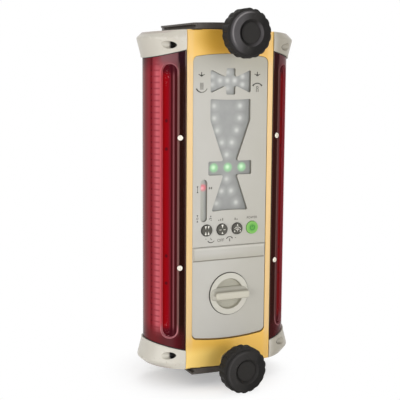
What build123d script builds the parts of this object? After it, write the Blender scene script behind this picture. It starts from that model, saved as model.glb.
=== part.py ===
# Machine-mounted laser receiver, clamped to a vertical mast.
# Millimetres. The origin is on the mast's axis at mid height, +Z runs up the mast, the display faces -Y.
import os
from math import acos, atan2, cos, radians, sin, sqrt

from build123d import *

os.makedirs("parts", exist_ok=True)

# Mast and saddle
mast_d = 48.3            # 1.5 inch pipe
liner_t = 2.5
liner_half_angle = 62.0  # degrees each side of the saddle's middle
saddle_floor = 3.5
saddle_w = 58.0
saddle_end = 23.0        # saddle's end inside the body's end
foot_w = 76.0
foot_t = 5.0
saddle_screw_in = 18.0   # outer screws from the saddle's ends
saddle_screw_step = 86.0

# Body: a core between two half-tube windows
body_h = 342.0
body_d = 73.0
tube_x = 41.8            # axis of each half tube from the middle plane
front_w = 96.4
end_rise = 1.3           # crown of the ends at the middle plane
front_wall = 5.0
edge_round = 1.6
web_t = 3.0
rear_wall = 4.0
split_depth = 40.0       # joint of front and rear shells, from the front face
boss_r = 5.2
boss_sink = 0.8          # boss grown into the web
boss_seat = 12.0         # seat of the body screws behind the joint
boss_screw_len = 20.0
boss_in = 31.0           # outer bosses from the body's ends
seat_gap = 0.2           # between the shells' ends and the caps

# Windows
window_wall = 5.0
window_seal = 0.6
slot_from = 25.5         # degrees round the tube from its front
slot_to = 50.5
slot_end = 33.0          # slot's end inside the body's end
slot_step = 1.9
slot_deep = 3.4
slot_shelf = 4.8
slot_round = 0.45        # of the slot's width
rail_t = 3.0
rail_to = 31.0           # degrees
rail_gap = 0.1
window_screw_angle = 20.2
window_screw_rows = (-65.5, 65.5)
window_screw_sink = 1.2

# End caps
cap_skirt = 19.3         # height beside the front shell
cap_slope = 0.25         # gain in height outwards
cap_flare = 6.7
cap_flare_at = 7.5       # widest place, from the end
cap_round = 10.0
cap_crest_round = 2.5
cap_bend_steps = 4       # sections round each bend of the flare
cap_wall = 4.0
cap_top = 7.0
cap_lip = 1.6            # edge outside the window
cap_neck = 2.0
cap_neck_at = 24.0       # start of the flare, from the end
cap_neck_round = 30.0
cap_gasket = 1.0
cap_fit = 0.2
cap_screw_depth = 6.0
cap_screw_in = 15.0
cap_bore_d = 7.6
cap_bore_wall = 1.4
cap_seat = 4.5           # screw seat outside the front shell

# Recess, panel and door seam in the front shell
recess_w = 83.8
recess_top_in = 26.1     # corners of the recess from the body's ends
recess_low_in = 30.4
recess_rise = 3.5
recess_corner = 6.0
recess_depth = 3.0
panel_drop = 0.6
panel_gap = 0.4
seam_up = 94.9           # seam of panel and door above the recess's lower corners

# Display openings
tie_in = 24.1            # middle of the bow-tie below the recess's upper corners
tie_w = 45.0
tie_end = 23.6
tie_neck = 8.2           # height where the wings meet the bar
tie_bar_w = 10.2
tie_bar_h = 26.2
opening_round = 1.6
cup_gap = 4.2            # panel between the bow-tie and the hourglass
cup_w = 45.0
cup_rows = 5.65          # heights above the bar, in rows of lamps
shoulder_rows = 3.902
base_rows = 3.577        # foot of the hourglass below the bar, in rows
cup_shoulder_round = 12.0
edge_dip = 1.0
neck_w = 15.2
bar_w = 48.6
bar_h = 14.2
base_up = 35.7           # foot of the hourglass above the seam
base_w = 41.4
level_x = -29.1
level_w = 7.4
level_under = 10.0       # ends of the level slot from the hourglass's foot
level_over = 33.0
lens_t = 1.5
lens_lap = 4.0           # lens past the edge of its openings
lens_fit = 0.2

# Lamps and boards
led_d = 4.8
led_tip = 5.4
grade_rows = ((5, 14.6), (4, 14.3), (3, 11.0), (2, 5.65), (-2, 5.4), (-3, 11.1))
plumb_out = 17.0
plumb_out_v = 4.1
plumb_in = 8.2
plumb_v = 8.1
on_grade_x = 15.75
level_led_in = 8.2       # uppermost level lamp below the slot's end
level_led_pitch = 6.65
level_led_h = 4.2
level_led_w = 5.0
board_depth = 11.0
board_t = 1.6
board_w = 70.0
board_under = 1.3        # board below the seam
board_top_in = 23.0      # board below the body's end
standoff_r = 3.5
standoff_x = 33.0
standoff_in = 6.0        # outer standoffs from the board's ends

# Buttons
button_d = 12.0
power_d = 13.2
button_pitch = 17.2
button_up = 17.0         # row of buttons above the seam
button_proud = 0.9
button_gap = 0.25
button_flange = 1.3
flange_t = 1.4
button_travel = 0.8
button_round = 0.5
switch_play = 0.2
switch_w = 6.0

# Clamp knobs
knob_d = 48.0
knob_inset = 4.0         # axis inside the end of the body
knob_front = 43.0        # face of the knob in front of the body
knob_rim = 17.0
lobe_count = 18
lobe_r = 5.5
valley_round = 1.0
lobe_bevel = 1.2
knob_disc_d = 42.4       # disc in front of the lobes
knob_disc_h = 3.0
knob_disc_edge = 0.6
knob_face_fall = 1.4     # fall of the disc's face towards its edge
knob_well_d = 25.8
knob_well_floor_d = 21.4
knob_well = 3.0
knob_cap_d = 20.4
knob_cap_h = 1.0
knob_cap_round = 0.4
hub_d = 16.0
washer_d = 18.0
washer_t = 1.5
stud_d = 8.0
stud_gap = 0.3
stud_grip = 10.0         # stud inside the rim
stud_boss_r = 11.0
stud_boss_len = 14.8
clip_d = 10.0
clip_groove = 1.0
clip_t = 1.0
clip_gap = 0.3

# Clamp plates and draw nuts
plate_w = 83.0
plate_t = 6.0
plate_lip = 1.8          # lip above the groove along the plate's sides
groove_deep = 3.4
groove_up = 3.4          # bottom of the groove above the plate's underside
groove_heel = 1.2
plate_setback = 0.5
plate_shoulder = 10.6    # full width runs this far past the rear wall
slide_gap = 0.3
stirrup_wall = 5.85
strap_step = 5.4         # stirrup narrower than the plate, each side
clamp_travel = 10.0
clamp_spare = 1.0
stirrup_front = 11.0     # mast hole reaches this far forward of the mast's axis
nut_w = 18.0
nut_len = 14.0
nut_drop = 6.5
nut_depth = 22.0
nut_gap = 0.4
thread_gap = 0.1
nut_screw_x = 6.5
nut_screw_len = 7.0
nut_screw_sink = 2.2

# Battery door and latch
door_plate = 1.6
door_knob_gap = 0.6
ledge_in = 1.0           # ledge's ends inside the door's sides
ledge_h = 14.0
ledge_rise = 1.6
ledge_taper = 28.0       # degrees
opening_in = 4.9         # opening inside the recess's sides
opening_under = 11.3     # below the seam
opening_over = 9.6       # above the recess's lower corners
opening_corner = 4.0
seal_w = 2.6
seal_in = 0.5
latch_up = 44.4          # latch above the recess's lower corners
latch_d = 44.2
latch_gap = 0.3
latch_proud = 0.6
latch_back = 6.6
latch_round = 0.8
pocket_d = 32.0
pocket_depth = 3.5
pocket_taper = 15.0      # degrees
fin_front = 10.5         # crest of the fin in front of the body
fin_len = 37.6
fin_w = 6.4
fin_corner = 2.6
fin_base_len = 40.6
fin_base_w = 12.8
fin_base_corner = 4.0
fin_round = 1.9
cup_wall = 2.2
cup_floor = 2.0
shaft_d = 10.0
shaft_gap = 0.15
cam_len = 66.0
cam_w = 12.0
cam_t = 2.5
cam_gap = 0.2
keeper_h = 16.0
keeper_reach = 6.5       # overlap of cam and keeper when locked
keeper_foot = 6.0

# Batteries
cell_spare = 0.8         # left over in the tray's depth
cell_len = 48.6
nub_d = 8.0
nub_h = 1.4
cell_gap = 0.6
cell_round = 0.8
contact_w = 14.0
contact_t = 0.8
contact_bump = 2.7
contact_bump_d = 7.0
tray_wall = 1.8
tray_clear = 0.6         # cam to tray
tray_screw_z = 18.0

# Sensor columns
sensor_x = 60.0
sensor_edge = 2.5        # sensor board to the window
sensor_t = 1.6
sensor_end = 37.0        # board's end inside the body's end
diode_margin = 1.0
diode_pitch = 5.5
diode_w = 10.0
diode_h = 4.3
diode_t = 2.4
post_r = 3.0
post_edge = 4.2          # posts inside the board's front edge
post_rows = (-79.0, -52.0, 52.0, 79.0)

# Screws: shank, head diameter, head height
small_screw = (3.0, 5.4, 1.8)
body_screw = (4.0, 7.0, 3.0)
latch_screw_size = (4.0, 7.0, 2.0)
latch_screw_len = 5.0
screw_gap = 0.25

# Places that follow from the sizes above
mast_r = mast_d / 2
saddle_len = body_h - 2 * saddle_end
half_h = body_h / 2
half_w = front_w / 2
tube_r = body_d / 2
front_y = -(mast_r + liner_t + saddle_floor + body_d)
tube_y = front_y + tube_r
rear_y = front_y + body_d
window_x = half_w + window_seal
web_end = half_h - cap_skirt - seat_gap
arch_r = (half_w**2 + end_rise**2) / (2 * end_rise)
arch_z = half_h + end_rise - arch_r
knob_z = half_h - knob_inset
stud_r = stud_d / 2
boss_x = half_w - web_t - boss_r + boss_sink
cap_screw_z = half_h - cap_screw_in
cap_boss_r = cap_skirt - cap_screw_in
slot_mid = (slot_from + slot_to) / 2
slot_w = 2 * tube_r * sin(radians((slot_to - slot_from) / 2))
slot_len = body_h - 2 * slot_end
recess_top = half_h - recess_top_in
recess_low = recess_low_in - half_h
seam_z = recess_low + seam_up
button_z = seam_z + button_up
latch_z = recess_low + latch_up
opening_w = recess_w - 2 * opening_in
opening_top = seam_z - opening_under
opening_low = recess_low + opening_over
ledge_w = recess_w - 2 * (panel_gap + ledge_in)
tie_z = recess_top - tie_in
cup_top = tie_z - tie_bar_h / 2 - cup_gap
base_z = seam_z + base_up
led_pitch = (cup_top - base_z) / (cup_rows + base_rows)
bar_z = base_z + base_rows * led_pitch
cup_shoulder = bar_z + shoulder_rows * led_pitch
level_low = base_z - level_under
level_high = base_z + level_over
level_led_top = level_high - level_led_in
board_low = seam_z - board_under
board_high = half_h - board_top_in
standoff_rows = (board_low + standoff_in, (board_low + board_high) / 2, board_high - standoff_in)
door_bottom = -knob_z + knob_d / 2 + door_knob_gap
latch_r = latch_d / 2
cup_bottom = latch_back + latch_gap + cup_floor
cam_depth = cup_bottom + cam_gap
tray_front = cam_depth + cam_t + tray_clear
tray_rear = body_d - rear_wall
switch_depth = front_wall + flange_t + button_travel + switch_play
button_ds = [button_d, button_d, button_d, power_d]
button_xs = [button_pitch * (step - (len(button_ds) - 1) / 2) for step in range(len(button_ds))]
button_names = ["left_button", "middle_button", "right_button", "power_button"]
standoffs = [(x, z) for x in (-standoff_x, standoff_x) for z in standoff_rows]
bosses = [(x, z) for x in (-boss_x, boss_x) for z in (boss_in - half_h, 0, half_h - boss_in)]
saddle_screw_x = (saddle_w + foot_w) / 4
saddle_outer = saddle_len / 2 - saddle_screw_in
saddle_inner = saddle_outer - saddle_screw_step
saddle_screws_at = [(x, z) for x in (-saddle_screw_x, saddle_screw_x)
                    for z in (-saddle_outer, -saddle_inner, saddle_inner, saddle_outer)]
reach = 2 * body_h       # longer than anything that is cut
rail_end = tube_x + (tube_r - window_wall) * sin(radians(rail_to))
tray_screws_at = [(0, latch_z - tray_screw_z), (0, latch_z + tray_screw_z)]
cell_d = (tray_rear - tray_front - tray_wall - 3 * cell_gap - cell_spare) / 2  # 26.2, C size
cell_step = cell_d + cell_gap
cell_total = cell_len + nub_h
cell_rear = front_y + tray_rear - tray_wall - cell_gap - cell_d / 2
tray_w = 2 * cell_d + 3 * cell_gap + 2 * tray_wall
tray_h = cell_total + 2 * (contact_t + contact_bump + tray_wall)
stud_head = knob_front - knob_rim + stud_grip
stud_tail = nut_depth + nut_len + clamp_travel
clip_at = front_wall + cap_fit + stud_boss_len + clip_gap
nut_slot_from = front_wall + cap_fit + stud_boss_len
nut_slot_to = stud_tail + clamp_spare
nut_top = arch_z + sqrt((arch_r + slide_gap)**2 - (nut_w / 2)**2)
nut_screws_at = [(x, front_y + nut_depth + nut_len / 2) for x in (-nut_screw_x, nut_screw_x)]
nut_screw_z = half_h + end_rise + slide_gap + plate_t - nut_screw_sink
plate_low = arch_z + sqrt((arch_r + slide_gap)**2 - (plate_w / 2)**2)
plate_high = arch_z + sqrt((arch_r + slide_gap + plate_t)**2 - (plate_w / 2)**2)
stirrup_r = mast_r + stirrup_wall
shoulder_y = rear_y + plate_shoulder
strap_x = plate_w / 2 - strap_step
saddle_lip = -(mast_r + liner_t) * cos(radians(liner_half_angle))
sensor_w = 2 * (sqrt((tube_r - window_wall)**2 - (sensor_x + sensor_t - tube_x)**2) - sensor_edge)
sensor_len = body_h - 2 * sensor_end
diode_count = int((sensor_len - 2 * diode_margin) / diode_pitch)
post_in = sensor_w / 2 - post_edge
pick = 0.1               # tolerance for finding an edge by its place

# Planes: front faces the viewer, with the sketch's x along X and its y along Z
front = Plane(origin=(0, front_y, 0), x_dir=(1, 0, 0), z_dir=(0, -1, 0))


def behind(depth):
    return front.offset(-depth)


# Plane across X, with the sketch's x along Y and its y along Z
def across(x):
    return Plane(origin=(x, 0, 0), x_dir=(0, 1, 0), z_dir=(1, 0, 0))


# Plane touching a half tube, facing outwards, with the sketch's x along Z; side -1 is the left tube
def on_tube(angle, radius, side=-1):
    outward = (side * sin(radians(angle)), -cos(radians(angle)), 0)
    centre = (side * tube_x + radius * outward[0], tube_y + radius * outward[1], 0)
    return Plane(origin=centre, x_dir=(0, 0, 1), z_dir=outward)


# Plane at a point, facing a given way
def facing(x, y, z, outward):
    return Plane(origin=(x, y, z), z_dir=outward)


# Point where the plate's slanted side touches the stirrup's outer circle
def stirrup_tangent(side):
    corner = sqrt(strap_x**2 + shoulder_y**2)
    turn = atan2(shoulder_y, strap_x) + acos(stirrup_r / corner)
    return (side * stirrup_r * cos(turn), stirrup_r * sin(turn))


# Height of a cap's inner edge above mid height, at a distance from the middle plane
def cap_edge(x):
    return half_h - cap_skirt - cap_slope * (x - half_w)


# Face with straight sides and crowned ends
def crowned(width, low, high, rise, corner=0.0):
    half = width / 2
    with BuildSketch(mode=Mode.PRIVATE) as face:
        with BuildLine():
            Line((-half, low), (-half, high))
            ThreePointArc((-half, high), (0, high + rise), (half, high))
            Line((half, high), (half, low))
            ThreePointArc((half, low), (0, low - rise), (-half, low))
        make_face()
        if corner > 0:
            fillet(face.vertices(), corner)
    return face.sketch


# Screw along -Z of its own frame, with the underside of its head at the origin
def screw(sizes, length):
    shank, head_d, head_h = sizes
    with BuildPart(mode=Mode.PRIVATE) as made:
        with BuildSketch(Plane.XY):
            Circle(head_d / 2)
        extrude(amount=head_h)
        fillet(made.faces().sort_by(Axis.Z)[-1].edges(), head_h * 0.3)
        with BuildSketch(Plane.XY.offset(head_h)):
            RegularPolygon(head_d * 0.27, 6)
        extrude(amount=-head_h * 0.5, mode=Mode.SUBTRACT)
        with BuildSketch(Plane.XY):
            Circle(shank / 2)
        extrude(amount=-length)
    return made.part


# Round-topped lamps standing on the control board
def lamps(points):
    radius = led_d / 2
    with BuildPart(mode=Mode.PRIVATE) as made:
        with BuildSketch(behind(led_tip + radius)):
            with Locations(*points):
                Circle(radius)
        extrude(amount=-(board_depth - led_tip - radius))
        with Locations(*[(x, front_y + led_tip + radius, z) for x, z in points]):
            Sphere(radius)
    return made.part


def write(part, name):
    part.label = name
    export_step(part, f"parts/{name}.step")


# Outlines of the recess and of what lies in it
def recess_outline(gap):
    return crowned(recess_w - 2 * gap, recess_low + gap, recess_top - gap, recess_rise, recess_corner - gap)


with BuildSketch(mode=Mode.PRIVATE) as tie_opening:
    with BuildLine():
        Polyline(
            (-tie_w / 2, tie_end / 2), (-tie_bar_w / 2, tie_neck / 2), (-tie_bar_w / 2, tie_bar_h / 2),
            (tie_bar_w / 2, tie_bar_h / 2), (tie_bar_w / 2, tie_neck / 2), (tie_w / 2, tie_end / 2),
            (tie_w / 2, -tie_end / 2), (tie_bar_w / 2, -tie_neck / 2), (tie_bar_w / 2, -tie_bar_h / 2),
            (-tie_bar_w / 2, -tie_bar_h / 2), (-tie_bar_w / 2, -tie_neck / 2), (-tie_w / 2, -tie_end / 2),
            close=True)
    make_face()
    fillet(tie_opening.vertices(), opening_round)

with BuildSketch(mode=Mode.PRIVATE) as glass_opening:
    with BuildLine():
        ThreePointArc((-cup_w / 2, cup_top), (0, cup_top - edge_dip), (cup_w / 2, cup_top))
        Polyline(
            (cup_w / 2, cup_top), (cup_w / 2, cup_shoulder), (neck_w / 2, bar_z + bar_h / 2),
            (bar_w / 2, bar_z + bar_h / 2), (bar_w / 2, bar_z - bar_h / 2), (neck_w / 2, bar_z - bar_h / 2),
            (base_w / 2, base_z))
        ThreePointArc((base_w / 2, base_z), (0, base_z + edge_dip), (-base_w / 2, base_z))
        Polyline(
            (-base_w / 2, base_z), (-neck_w / 2, bar_z - bar_h / 2), (-bar_w / 2, bar_z - bar_h / 2),
            (-bar_w / 2, bar_z + bar_h / 2), (-neck_w / 2, bar_z + bar_h / 2), (-cup_w / 2, cup_shoulder),
            (-cup_w / 2, cup_top))
    make_face()
    shoulders = glass_opening.vertices().filter_by_position(Axis.Y, cup_shoulder - pick, cup_shoulder + pick)
    fillet(shoulders, cup_shoulder_round)
    corners = glass_opening.vertices().filter_by(lambda v: v.Y < bar_z + bar_h or v.Y > cup_top - pick)
    fillet(corners, opening_round)

with BuildSketch(mode=Mode.PRIVATE) as level_opening:
    with Locations((level_x, (level_low + level_high) / 2)):
        SlotOverall(level_high - level_low, level_w, rotation=90)

with BuildSketch(mode=Mode.PRIVATE) as lens_outline:
    lens_top = tie_z + tie_bar_h / 2 + lens_lap
    lens_low = base_z - lens_lap
    lens_side = bar_w / 2 + lens_lap
    with Locations((0, (lens_top + lens_low) / 2)):
        Rectangle(2 * lens_side, lens_top - lens_low)
    level_low_edge = button_z + button_d / 2 + button_gap + lens_lap / 2
    level_high_edge = level_high + lens_lap
    with Locations((level_x, (level_low_edge + level_high_edge) / 2)):
        Rectangle(level_w + 2 * lens_lap, level_high_edge - level_low_edge)

# Front shell
with BuildPart() as front_housing:
    with BuildSketch(front):
        add(crowned(front_w, -half_h, half_h, end_rise))
    extrude(amount=-front_wall)
    fillet(front_housing.faces().sort_by(Axis.Y)[0].edges(), edge_round)
    with BuildSketch(front):
        add(recess_outline(0))
    extrude(amount=-recess_depth, mode=Mode.SUBTRACT)
    with BuildSketch(front):
        add(lens_outline.sketch)
        with Locations(*[(x, button_z) for x in button_xs[:3]]):
            Circle(button_d / 2 + button_gap)
        with Locations((button_xs[3], button_z)):
            Circle(power_d / 2 + button_gap)
        with Locations((0, (opening_top + opening_low) / 2)):
            RectangleRounded(opening_w, opening_top - opening_low, opening_corner)
        with Locations((0, knob_z), (0, -knob_z)):
            Circle(stud_r + stud_gap)
    extrude(amount=-front_wall, mode=Mode.SUBTRACT)
    # Side webs and the rails behind the window flanges
    with BuildSketch(Plane.XY.offset(-web_end)):
        web_mid = front_y + (front_wall + split_depth) / 2
        with Locations((-half_w + web_t / 2, web_mid), (half_w - web_t / 2, web_mid)):
            Rectangle(web_t, split_depth - front_wall)
        for side in (-1, 1):
            with BuildSketch(mode=Mode.PRIVATE) as rail:
                with Locations((side * tube_x, tube_y)):
                    Circle(tube_r - window_wall - rail_gap)
                    Circle(tube_r - window_wall - rail_gap - rail_t, mode=Mode.SUBTRACT)
                with Locations((side * (half_w + rail_end) / 2, front_y + tube_r / 2)):
                    Rectangle(rail_end - half_w, tube_r, mode=Mode.INTERSECT)
            add(rail.sketch)
    extrude(amount=2 * web_end)
    # Standoffs of the control board and bosses of the body screws
    with BuildSketch(behind(front_wall)):
        with Locations(*standoffs):
            Circle(standoff_r)
            Circle(small_screw[0] / 2, mode=Mode.SUBTRACT)
    extrude(amount=-(board_depth - front_wall))
    with BuildSketch(behind(front_wall)):
        with Locations(*bosses):
            Circle(boss_r)
            Circle(body_screw[0] / 2, mode=Mode.SUBTRACT)
    extrude(amount=-(split_depth - front_wall))
    # Bosses that take the cap screws
    with BuildSketch(behind(front_wall)):
        for x in (-1, 1):
            for z in (-1, 1):
                with Locations((x * (half_w - cap_boss_r), z * cap_screw_z)):
                    Rectangle(2 * cap_boss_r, 2 * cap_boss_r)
    extrude(amount=-(cap_screw_depth + cap_boss_r / 2))
    with BuildSketch(across(0)):
        with Locations((front_y + cap_screw_depth, cap_screw_z), (front_y + cap_screw_depth, -cap_screw_z)):
            Circle(body_screw[0] / 2)
    extrude(amount=half_w, both=True, mode=Mode.SUBTRACT)
    # Posts of the sensor boards
    with BuildSketch(across(half_w)):
        with Locations(*[(tube_y - post_in, z) for z in post_rows]):
            Circle(post_r)
            Circle(small_screw[0] / 2, mode=Mode.SUBTRACT)
    extrude(amount=sensor_x - half_w)
    with BuildSketch(across(-half_w)):
        with Locations(*[(tube_y - post_in, z) for z in post_rows]):
            Circle(post_r)
            Circle(small_screw[0] / 2, mode=Mode.SUBTRACT)
    extrude(amount=-(sensor_x - half_w))
    # Holes for the window screws
    for side in (-1, 1):
        with BuildSketch(on_tube(window_screw_angle, tube_r, side)):
            with Locations(*[(row, 0) for row in window_screw_rows]):
                Circle(small_screw[0] / 2)
        extrude(amount=-(window_wall + 2 * rail_t), mode=Mode.SUBTRACT)
write(front_housing.part, "front_housing")

# Rear shell
with BuildPart() as rear_housing:
    with BuildSketch(Plane.XY.offset(-web_end)):
        web_mid = front_y + (split_depth + body_d) / 2
        with Locations((-half_w + web_t / 2, web_mid), (half_w - web_t / 2, web_mid)):
            Rectangle(web_t, body_d - split_depth)
        with Locations((0, rear_y - rear_wall / 2)):
            Rectangle(front_w, rear_wall)
        for side in (-1, 1):
            with BuildSketch(mode=Mode.PRIVATE) as rail:
                with Locations((side * tube_x, tube_y)):
                    Circle(tube_r - window_wall - rail_gap)
                    Circle(tube_r - window_wall - rail_gap - rail_t, mode=Mode.SUBTRACT)
                with Locations((side * (half_w + rail_end) / 2, rear_y - tube_r / 2)):
                    Rectangle(rail_end - half_w, tube_r, mode=Mode.INTERSECT)
            add(rail.sketch)
    extrude(amount=2 * web_end)
    with BuildSketch(behind(split_depth)):
        with Locations(*bosses):
            Circle(boss_r)
    extrude(amount=-(tray_rear - split_depth))
    with BuildSketch(behind(split_depth)):
        with Locations(*bosses):
            Circle(body_screw[0] / 2 + screw_gap)
    extrude(amount=-boss_seat, mode=Mode.SUBTRACT)
    with BuildSketch(behind(split_depth + boss_seat)):
        with Locations(*bosses):
            Circle(body_screw[1] / 2 + screw_gap)
    extrude(amount=-(body_d - split_depth - boss_seat), mode=Mode.SUBTRACT)
    with BuildSketch(behind(tray_rear)):
        with Locations(*saddle_screws_at):
            Circle(body_screw[0] / 2)
        with Locations(*tray_screws_at):
            Circle(small_screw[0] / 2)
    extrude(amount=-rear_wall, mode=Mode.SUBTRACT)
    for side in (-1, 1):
        with BuildSketch(on_tube(180 - window_screw_angle, tube_r, side)):
            with Locations(*[(row, 0) for row in window_screw_rows]):
                Circle(small_screw[0] / 2)
        extrude(amount=-(window_wall + 2 * rail_t), mode=Mode.SUBTRACT)
write(rear_housing.part, "rear_housing")

with BuildPart() as housing_screws:
    with Locations(*[facing(x, front_y + split_depth + boss_seat, z, (0, 1, 0)) for x, z in bosses]):
        add(screw(body_screw, boss_screw_len))
write(housing_screws.part, "housing_screws")

# Windows: half tubes with slanted ends and a two-step long recess
with BuildPart() as left_window:
    outer_x = tube_x + tube_r
    with BuildSketch(behind(body_d)):
        with BuildLine():
            Polyline(
                (-window_x, cap_edge(window_x) - cap_gasket), (-outer_x, cap_edge(outer_x) - cap_gasket),
                (-outer_x, cap_gasket - cap_edge(outer_x)), (-window_x, cap_gasket - cap_edge(window_x)), close=True)
        make_face()
    extrude(amount=body_d)
    with BuildSketch(Plane.XY):
        with Locations((-tube_x, tube_y)):
            Circle(tube_r)
            Circle(tube_r - window_wall, mode=Mode.SUBTRACT)
    extrude(amount=half_h, both=True, mode=Mode.INTERSECT)
    with BuildSketch(on_tube(slot_mid, tube_r)):
        RectangleRounded(slot_len, slot_w, slot_w * slot_round)
    extrude(amount=-slot_step, mode=Mode.SUBTRACT)
    with BuildSketch(on_tube(slot_mid, tube_r)):
        with Locations((0, slot_shelf / 2)):
            RectangleRounded(slot_len - 2 * slot_step, slot_w - slot_shelf, (slot_w - slot_shelf) * slot_round)
    extrude(amount=-slot_deep, mode=Mode.SUBTRACT)
    for angle in (window_screw_angle, 180 - window_screw_angle):
        with BuildSketch(on_tube(angle, tube_r)):
            with Locations(*[(row, 0) for row in window_screw_rows]):
                Circle(small_screw[0] / 2 + screw_gap)
        extrude(amount=-2 * window_wall, mode=Mode.SUBTRACT)
        with BuildSketch(on_tube(angle, tube_r)):
            with Locations(*[(row, 0) for row in window_screw_rows]):
                Circle(small_screw[1] / 2 + screw_gap)
        extrude(amount=-window_screw_sink, mode=Mode.SUBTRACT)
write(left_window.part, "left_window")

with BuildPart() as right_window:
    mirror(left_window.part, about=Plane.YZ)
write(right_window.part, "right_window")

with BuildPart() as window_screws:
    for side in (-1, 1):
        for angle in (window_screw_angle, 180 - window_screw_angle):
            seat = on_tube(angle, tube_r - window_screw_sink, side)
            with Locations(*[seat * Location((row, 0, 0)) for row in window_screw_rows]):
                add(screw(small_screw, window_wall + rail_t))
write(window_screws.part, "window_screws")

# Seals between the windows' straight edges and the webs, and between their ends and the caps
with BuildPart() as window_seals:
    for side in (-1, 1):
        for end in (-1, 1):
            with BuildSketch(behind(body_d)):
                with BuildLine():
                    Polyline(
                        (side * window_x, end * cap_edge(window_x)), (side * outer_x, end * cap_edge(outer_x)),
                        (side * outer_x, end * (cap_edge(outer_x) - cap_gasket)),
                        (side * window_x, end * (cap_edge(window_x) - cap_gasket)), close=True)
                make_face()
            extrude(amount=body_d)
    with BuildSketch(Plane.XY):
        with Locations((-tube_x, tube_y), (tube_x, tube_y)):
            Circle(tube_r)
        with Locations((-tube_x, tube_y), (tube_x, tube_y)):
            Circle(tube_r - window_wall, mode=Mode.SUBTRACT)
    extrude(amount=half_h, both=True, mode=Mode.INTERSECT)
    seal_len = cap_edge(window_x) - cap_gasket
    outer_half = sqrt(tube_r**2 - (window_x - tube_x)**2)
    inner_half = sqrt((tube_r - window_wall)**2 - (window_x - tube_x)**2)
    seal_at = (outer_half + inner_half) / 2
    seal_h = outer_half - inner_half - 2 * rail_gap
    with BuildSketch(Plane.XY.offset(-seal_len)):
        for side in (-1, 1):
            seal_x = side * (half_w + window_seal / 2)
            with Locations((seal_x, tube_y - seal_at), (seal_x, tube_y + seal_at)):
                Rectangle(window_seal, seal_h)
    extrude(amount=2 * seal_len)
write(window_seals.part, "window_seals")

# End caps: flared casting, open below, with a boss for the knob's stud and a slot for the draw nut
with BuildPart() as cap_outer:
    outer_x = tube_x + tube_r + cap_flare
    low_z = cap_edge(outer_x)
    with BuildLine(mode=Mode.PRIVATE) as cap_side:      # offset from the window against height
        FilletPolyline(
            (cap_lip, low_z), (cap_neck, half_h - cap_neck_at), (cap_flare, half_h - cap_flare_at),
            (cap_flare - cap_round, half_h + end_rise), radius=(cap_neck_round, cap_crest_round))
    rows = [Vector(cap_lip, low_z), Vector(cap_flare - cap_round, half_h + end_rise)]
    for bend in cap_side.edges().filter_by(GeomType.CIRCLE):
        rows += [bend @ (step / cap_bend_steps) for step in range(cap_bend_steps + 1)]
    for row in sorted(rows, key=lambda row: row.Y):
        with BuildSketch(Plane.XY.offset(row.Y)):
            with Locations((0, tube_y)):
                SlotCenterToCenter(2 * (tube_x + row.X), 2 * tube_r)
    loft(ruled=True)
    with BuildSketch(behind(body_d)):
        side_z = arch_z + sqrt(arch_r**2 - outer_x**2)
        with BuildLine():
            ThreePointArc((-outer_x, side_z), (0, half_h + end_rise), (outer_x, side_z))
            Polyline(
                (outer_x, side_z), (outer_x, cap_edge(outer_x)), (half_w, cap_edge(half_w)),
                (-half_w, cap_edge(half_w)), (-outer_x, cap_edge(outer_x)), (-outer_x, side_z))
        make_face()
    extrude(amount=body_d, mode=Mode.INTERSECT)

with BuildPart() as cap_bosses:
    for side in (-1, 1):
        with BuildSketch(across(side * (half_w + cap_fit))):
            with Locations((front_y + cap_screw_depth, cap_screw_z)):
                Circle(cap_bore_d / 2 + cap_bore_wall)
        extrude(amount=side * reach)
    add(cap_outer.part, mode=Mode.INTERSECT)
    split(bisect_by=Plane.XY.offset(cap_edge(half_w)), keep=Keep.TOP)

with BuildPart() as top_cap:
    add(cap_outer.part)
    with BuildSketch(Plane.XY.offset(half_h - cap_top)):
        with Locations((0, tube_y)):
            SlotCenterToCenter(2 * tube_x, 2 * (tube_r - cap_wall))
    extrude(amount=-half_h, mode=Mode.SUBTRACT)
    add(cap_bosses.part)
    with BuildSketch(behind(front_wall + cap_fit)):
        with Locations((0, knob_z)):
            Rectangle(2 * stud_boss_r, 2 * stud_boss_r)
    extrude(amount=-stud_boss_len)
    with BuildSketch(behind(body_d)):
        side_z = arch_z + sqrt(arch_r**2 - half_w**2)
        with BuildLine():
            ThreePointArc((-half_w, side_z), (0, half_h + end_rise), (half_w, side_z))
            Polyline((half_w, side_z), (half_w, reach), (-half_w, reach), (-half_w, side_z))
        make_face()
    extrude(amount=body_d, mode=Mode.SUBTRACT)
    with BuildSketch(front):
        with Locations((0, half_h)):
            Rectangle(front_w + 2 * cap_fit, 2 * half_h)
    extrude(amount=-(front_wall + cap_fit), mode=Mode.SUBTRACT)
    with BuildSketch(front):
        with Locations((0, knob_z)):
            Circle(stud_r + stud_gap)
    extrude(amount=-nut_depth, mode=Mode.SUBTRACT)
    with BuildSketch(Plane.XY.offset(half_h + 2 * end_rise)):
        with Locations((0, front_y + (nut_slot_from + nut_slot_to) / 2)):
            Rectangle(nut_w + 2 * nut_gap, nut_slot_to - nut_slot_from)
    extrude(amount=-half_h / 2, mode=Mode.SUBTRACT)
    with BuildSketch(across(0)):
        with Locations((front_y + cap_screw_depth, cap_screw_z)):
            Circle(body_screw[0] / 2 + screw_gap)
    extrude(amount=reach, both=True, mode=Mode.SUBTRACT)
    for side in (-1, 1):
        with BuildSketch(across(side * (half_w + cap_seat))):
            with Locations((front_y + cap_screw_depth, cap_screw_z)):
                Circle(cap_bore_d / 2)
        extrude(amount=side * reach, mode=Mode.SUBTRACT)
write(top_cap.part, "top_cap")

with BuildPart() as bottom_cap:
    mirror(top_cap.part, about=Plane.XY)
write(bottom_cap.part, "bottom_cap")

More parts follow.
